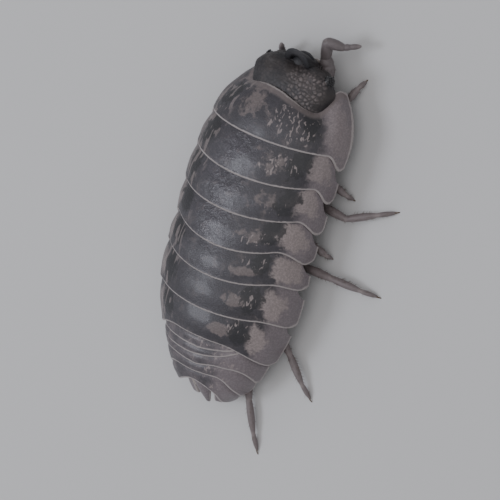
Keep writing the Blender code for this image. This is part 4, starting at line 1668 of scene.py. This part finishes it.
def build_floor(stage):
    """A wide square of floor at the level of the feet."""
    mesh = bpy.data.meshes.new("floor")
    corners = [(x * FLOOR_REACH, y * FLOOR_REACH, 0) for x, y in ((-1, -1), (1, -1), (1, 1), (-1, 1))]
    mesh.from_pydata(corners, [], [(0, 1, 2, 3)])
    mesh.materials.append(floor_finish(stage))
    floor = linked("floor", mesh)


def area_light(name, direction, distance, size, power, colour):
    """A soft square light that looks at the middle of the body."""
    data = bpy.data.lights.new(name, "AREA")
    data.size = size
    data.energy = power
    data.color = colour
    light = linked(name, data)
    away = Vector(direction).normalized()
    light.location = away * distance
    light.rotation_euler = away.to_track_quat("Z", "Y").to_euler()


def build_lights(stage):
    area_light("key", (0.52, 0.20, 0.84), 0.22, 0.070, stage.key, (0.88, 0.91, 1.0))
    area_light("fill", (-0.25, -0.20, 1.0), 0.50, 0.45, stage.fill, (1.0, 0.97, 0.96))
    world = bpy.data.worlds.new("surroundings")
    bpy.context.scene.world = world
    world.use_nodes = True
    back = world.node_tree.nodes["Background"]
    back.inputs["Color"].default_value = (0.82, 0.82, 0.85, 1)
    back.inputs["Strength"].default_value = stage.sky


def build_camera():
    """The camera at the photograph's angle, turned with the animal."""
    turn, rise = radians(VIEW_TURN), radians(VIEW_RISE)
    away = Vector((sin(turn) * cos(rise), -cos(turn) * cos(rise), sin(rise)))
    level = Vector((0, 0, 1)).cross(away).normalized()
    upright = away.cross(level)
    roll = radians(VIEW_ROLL)
    right = level * cos(roll) + upright * sin(roll)
    up = upright * cos(roll) - level * sin(roll)
    target = (Vector(VIEW_TARGET) - Vector(CENTRE)) * MM
    place = target + away * VIEW_DISTANCE * MM
    data = bpy.data.cameras.new("camera")
    data.sensor_width = 36
    data.lens = VIEW_LENS
    data.clip_start = 0.005
    data.clip_end = 10
    camera = linked("camera", data)
    axes = Matrix((right, up, away)).transposed().to_4x4()
    camera.matrix_world = Matrix.Translation(place) @ axes
    bpy.context.scene.camera = camera


STEPS = (
    WOODLOUSE_OT_trunk_plates,
    WOODLOUSE_OT_tail_plates,
    WOODLOUSE_OT_head,
    WOODLOUSE_OT_eyes,
    WOODLOUSE_OT_feelers,
    WOODLOUSE_OT_mouth,
    WOODLOUSE_OT_body_skin,
    WOODLOUSE_OT_gills,
    WOODLOUSE_OT_stage,
)


class WOODLOUSE_PT_panel(bpy.types.Panel):
    """Lists the looks and the building steps in the sidebar."""

    bl_idname = "WOODLOUSE_PT_panel"
    bl_label = "Woodlouse"
    bl_space_type = "VIEW_3D"
    bl_region_type = "UI"
    bl_category = "Woodlouse"

    def draw(self, context):
        scene = context.scene
        for looks in (scene.woodlouse_shell, scene.woodlouse_limbs, scene.woodlouse_stage):
            box = self.layout.box()
            for key in looks.bl_rna.properties.keys():
                if key not in ("rna_type", "name"):
                    box.prop(looks, key)
        for step in STEPS:
            self.layout.operator(step.bl_idname)


CLASSES = (ShellLooks, LimbLooks, StageLooks, *STEPS, WOODLOUSE_PT_panel)


def register():
    for cls in CLASSES:
        bpy.utils.register_class(cls)
    scene = bpy.types.Scene
    scene.woodlouse_shell = bpy.props.PointerProperty(type=ShellLooks)
    scene.woodlouse_limbs = bpy.props.PointerProperty(type=LimbLooks)
    scene.woodlouse_stage = bpy.props.PointerProperty(type=StageLooks)


def unregister():
    for key in ("woodlouse_shell", "woodlouse_limbs", "woodlouse_stage"):
        delattr(bpy.types.Scene, key)
    for cls in reversed(CLASSES):
        bpy.utils.unregister_class(cls)


def write_sizes():
    """Brings the view layer up to date."""
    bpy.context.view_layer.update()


def main():
    register()
    for step in STEPS:
        group, name = step.bl_idname.split(".")
        getattr(getattr(bpy.ops, group), name)()
    write_sizes()


if __name__ == "__main__":
    main()
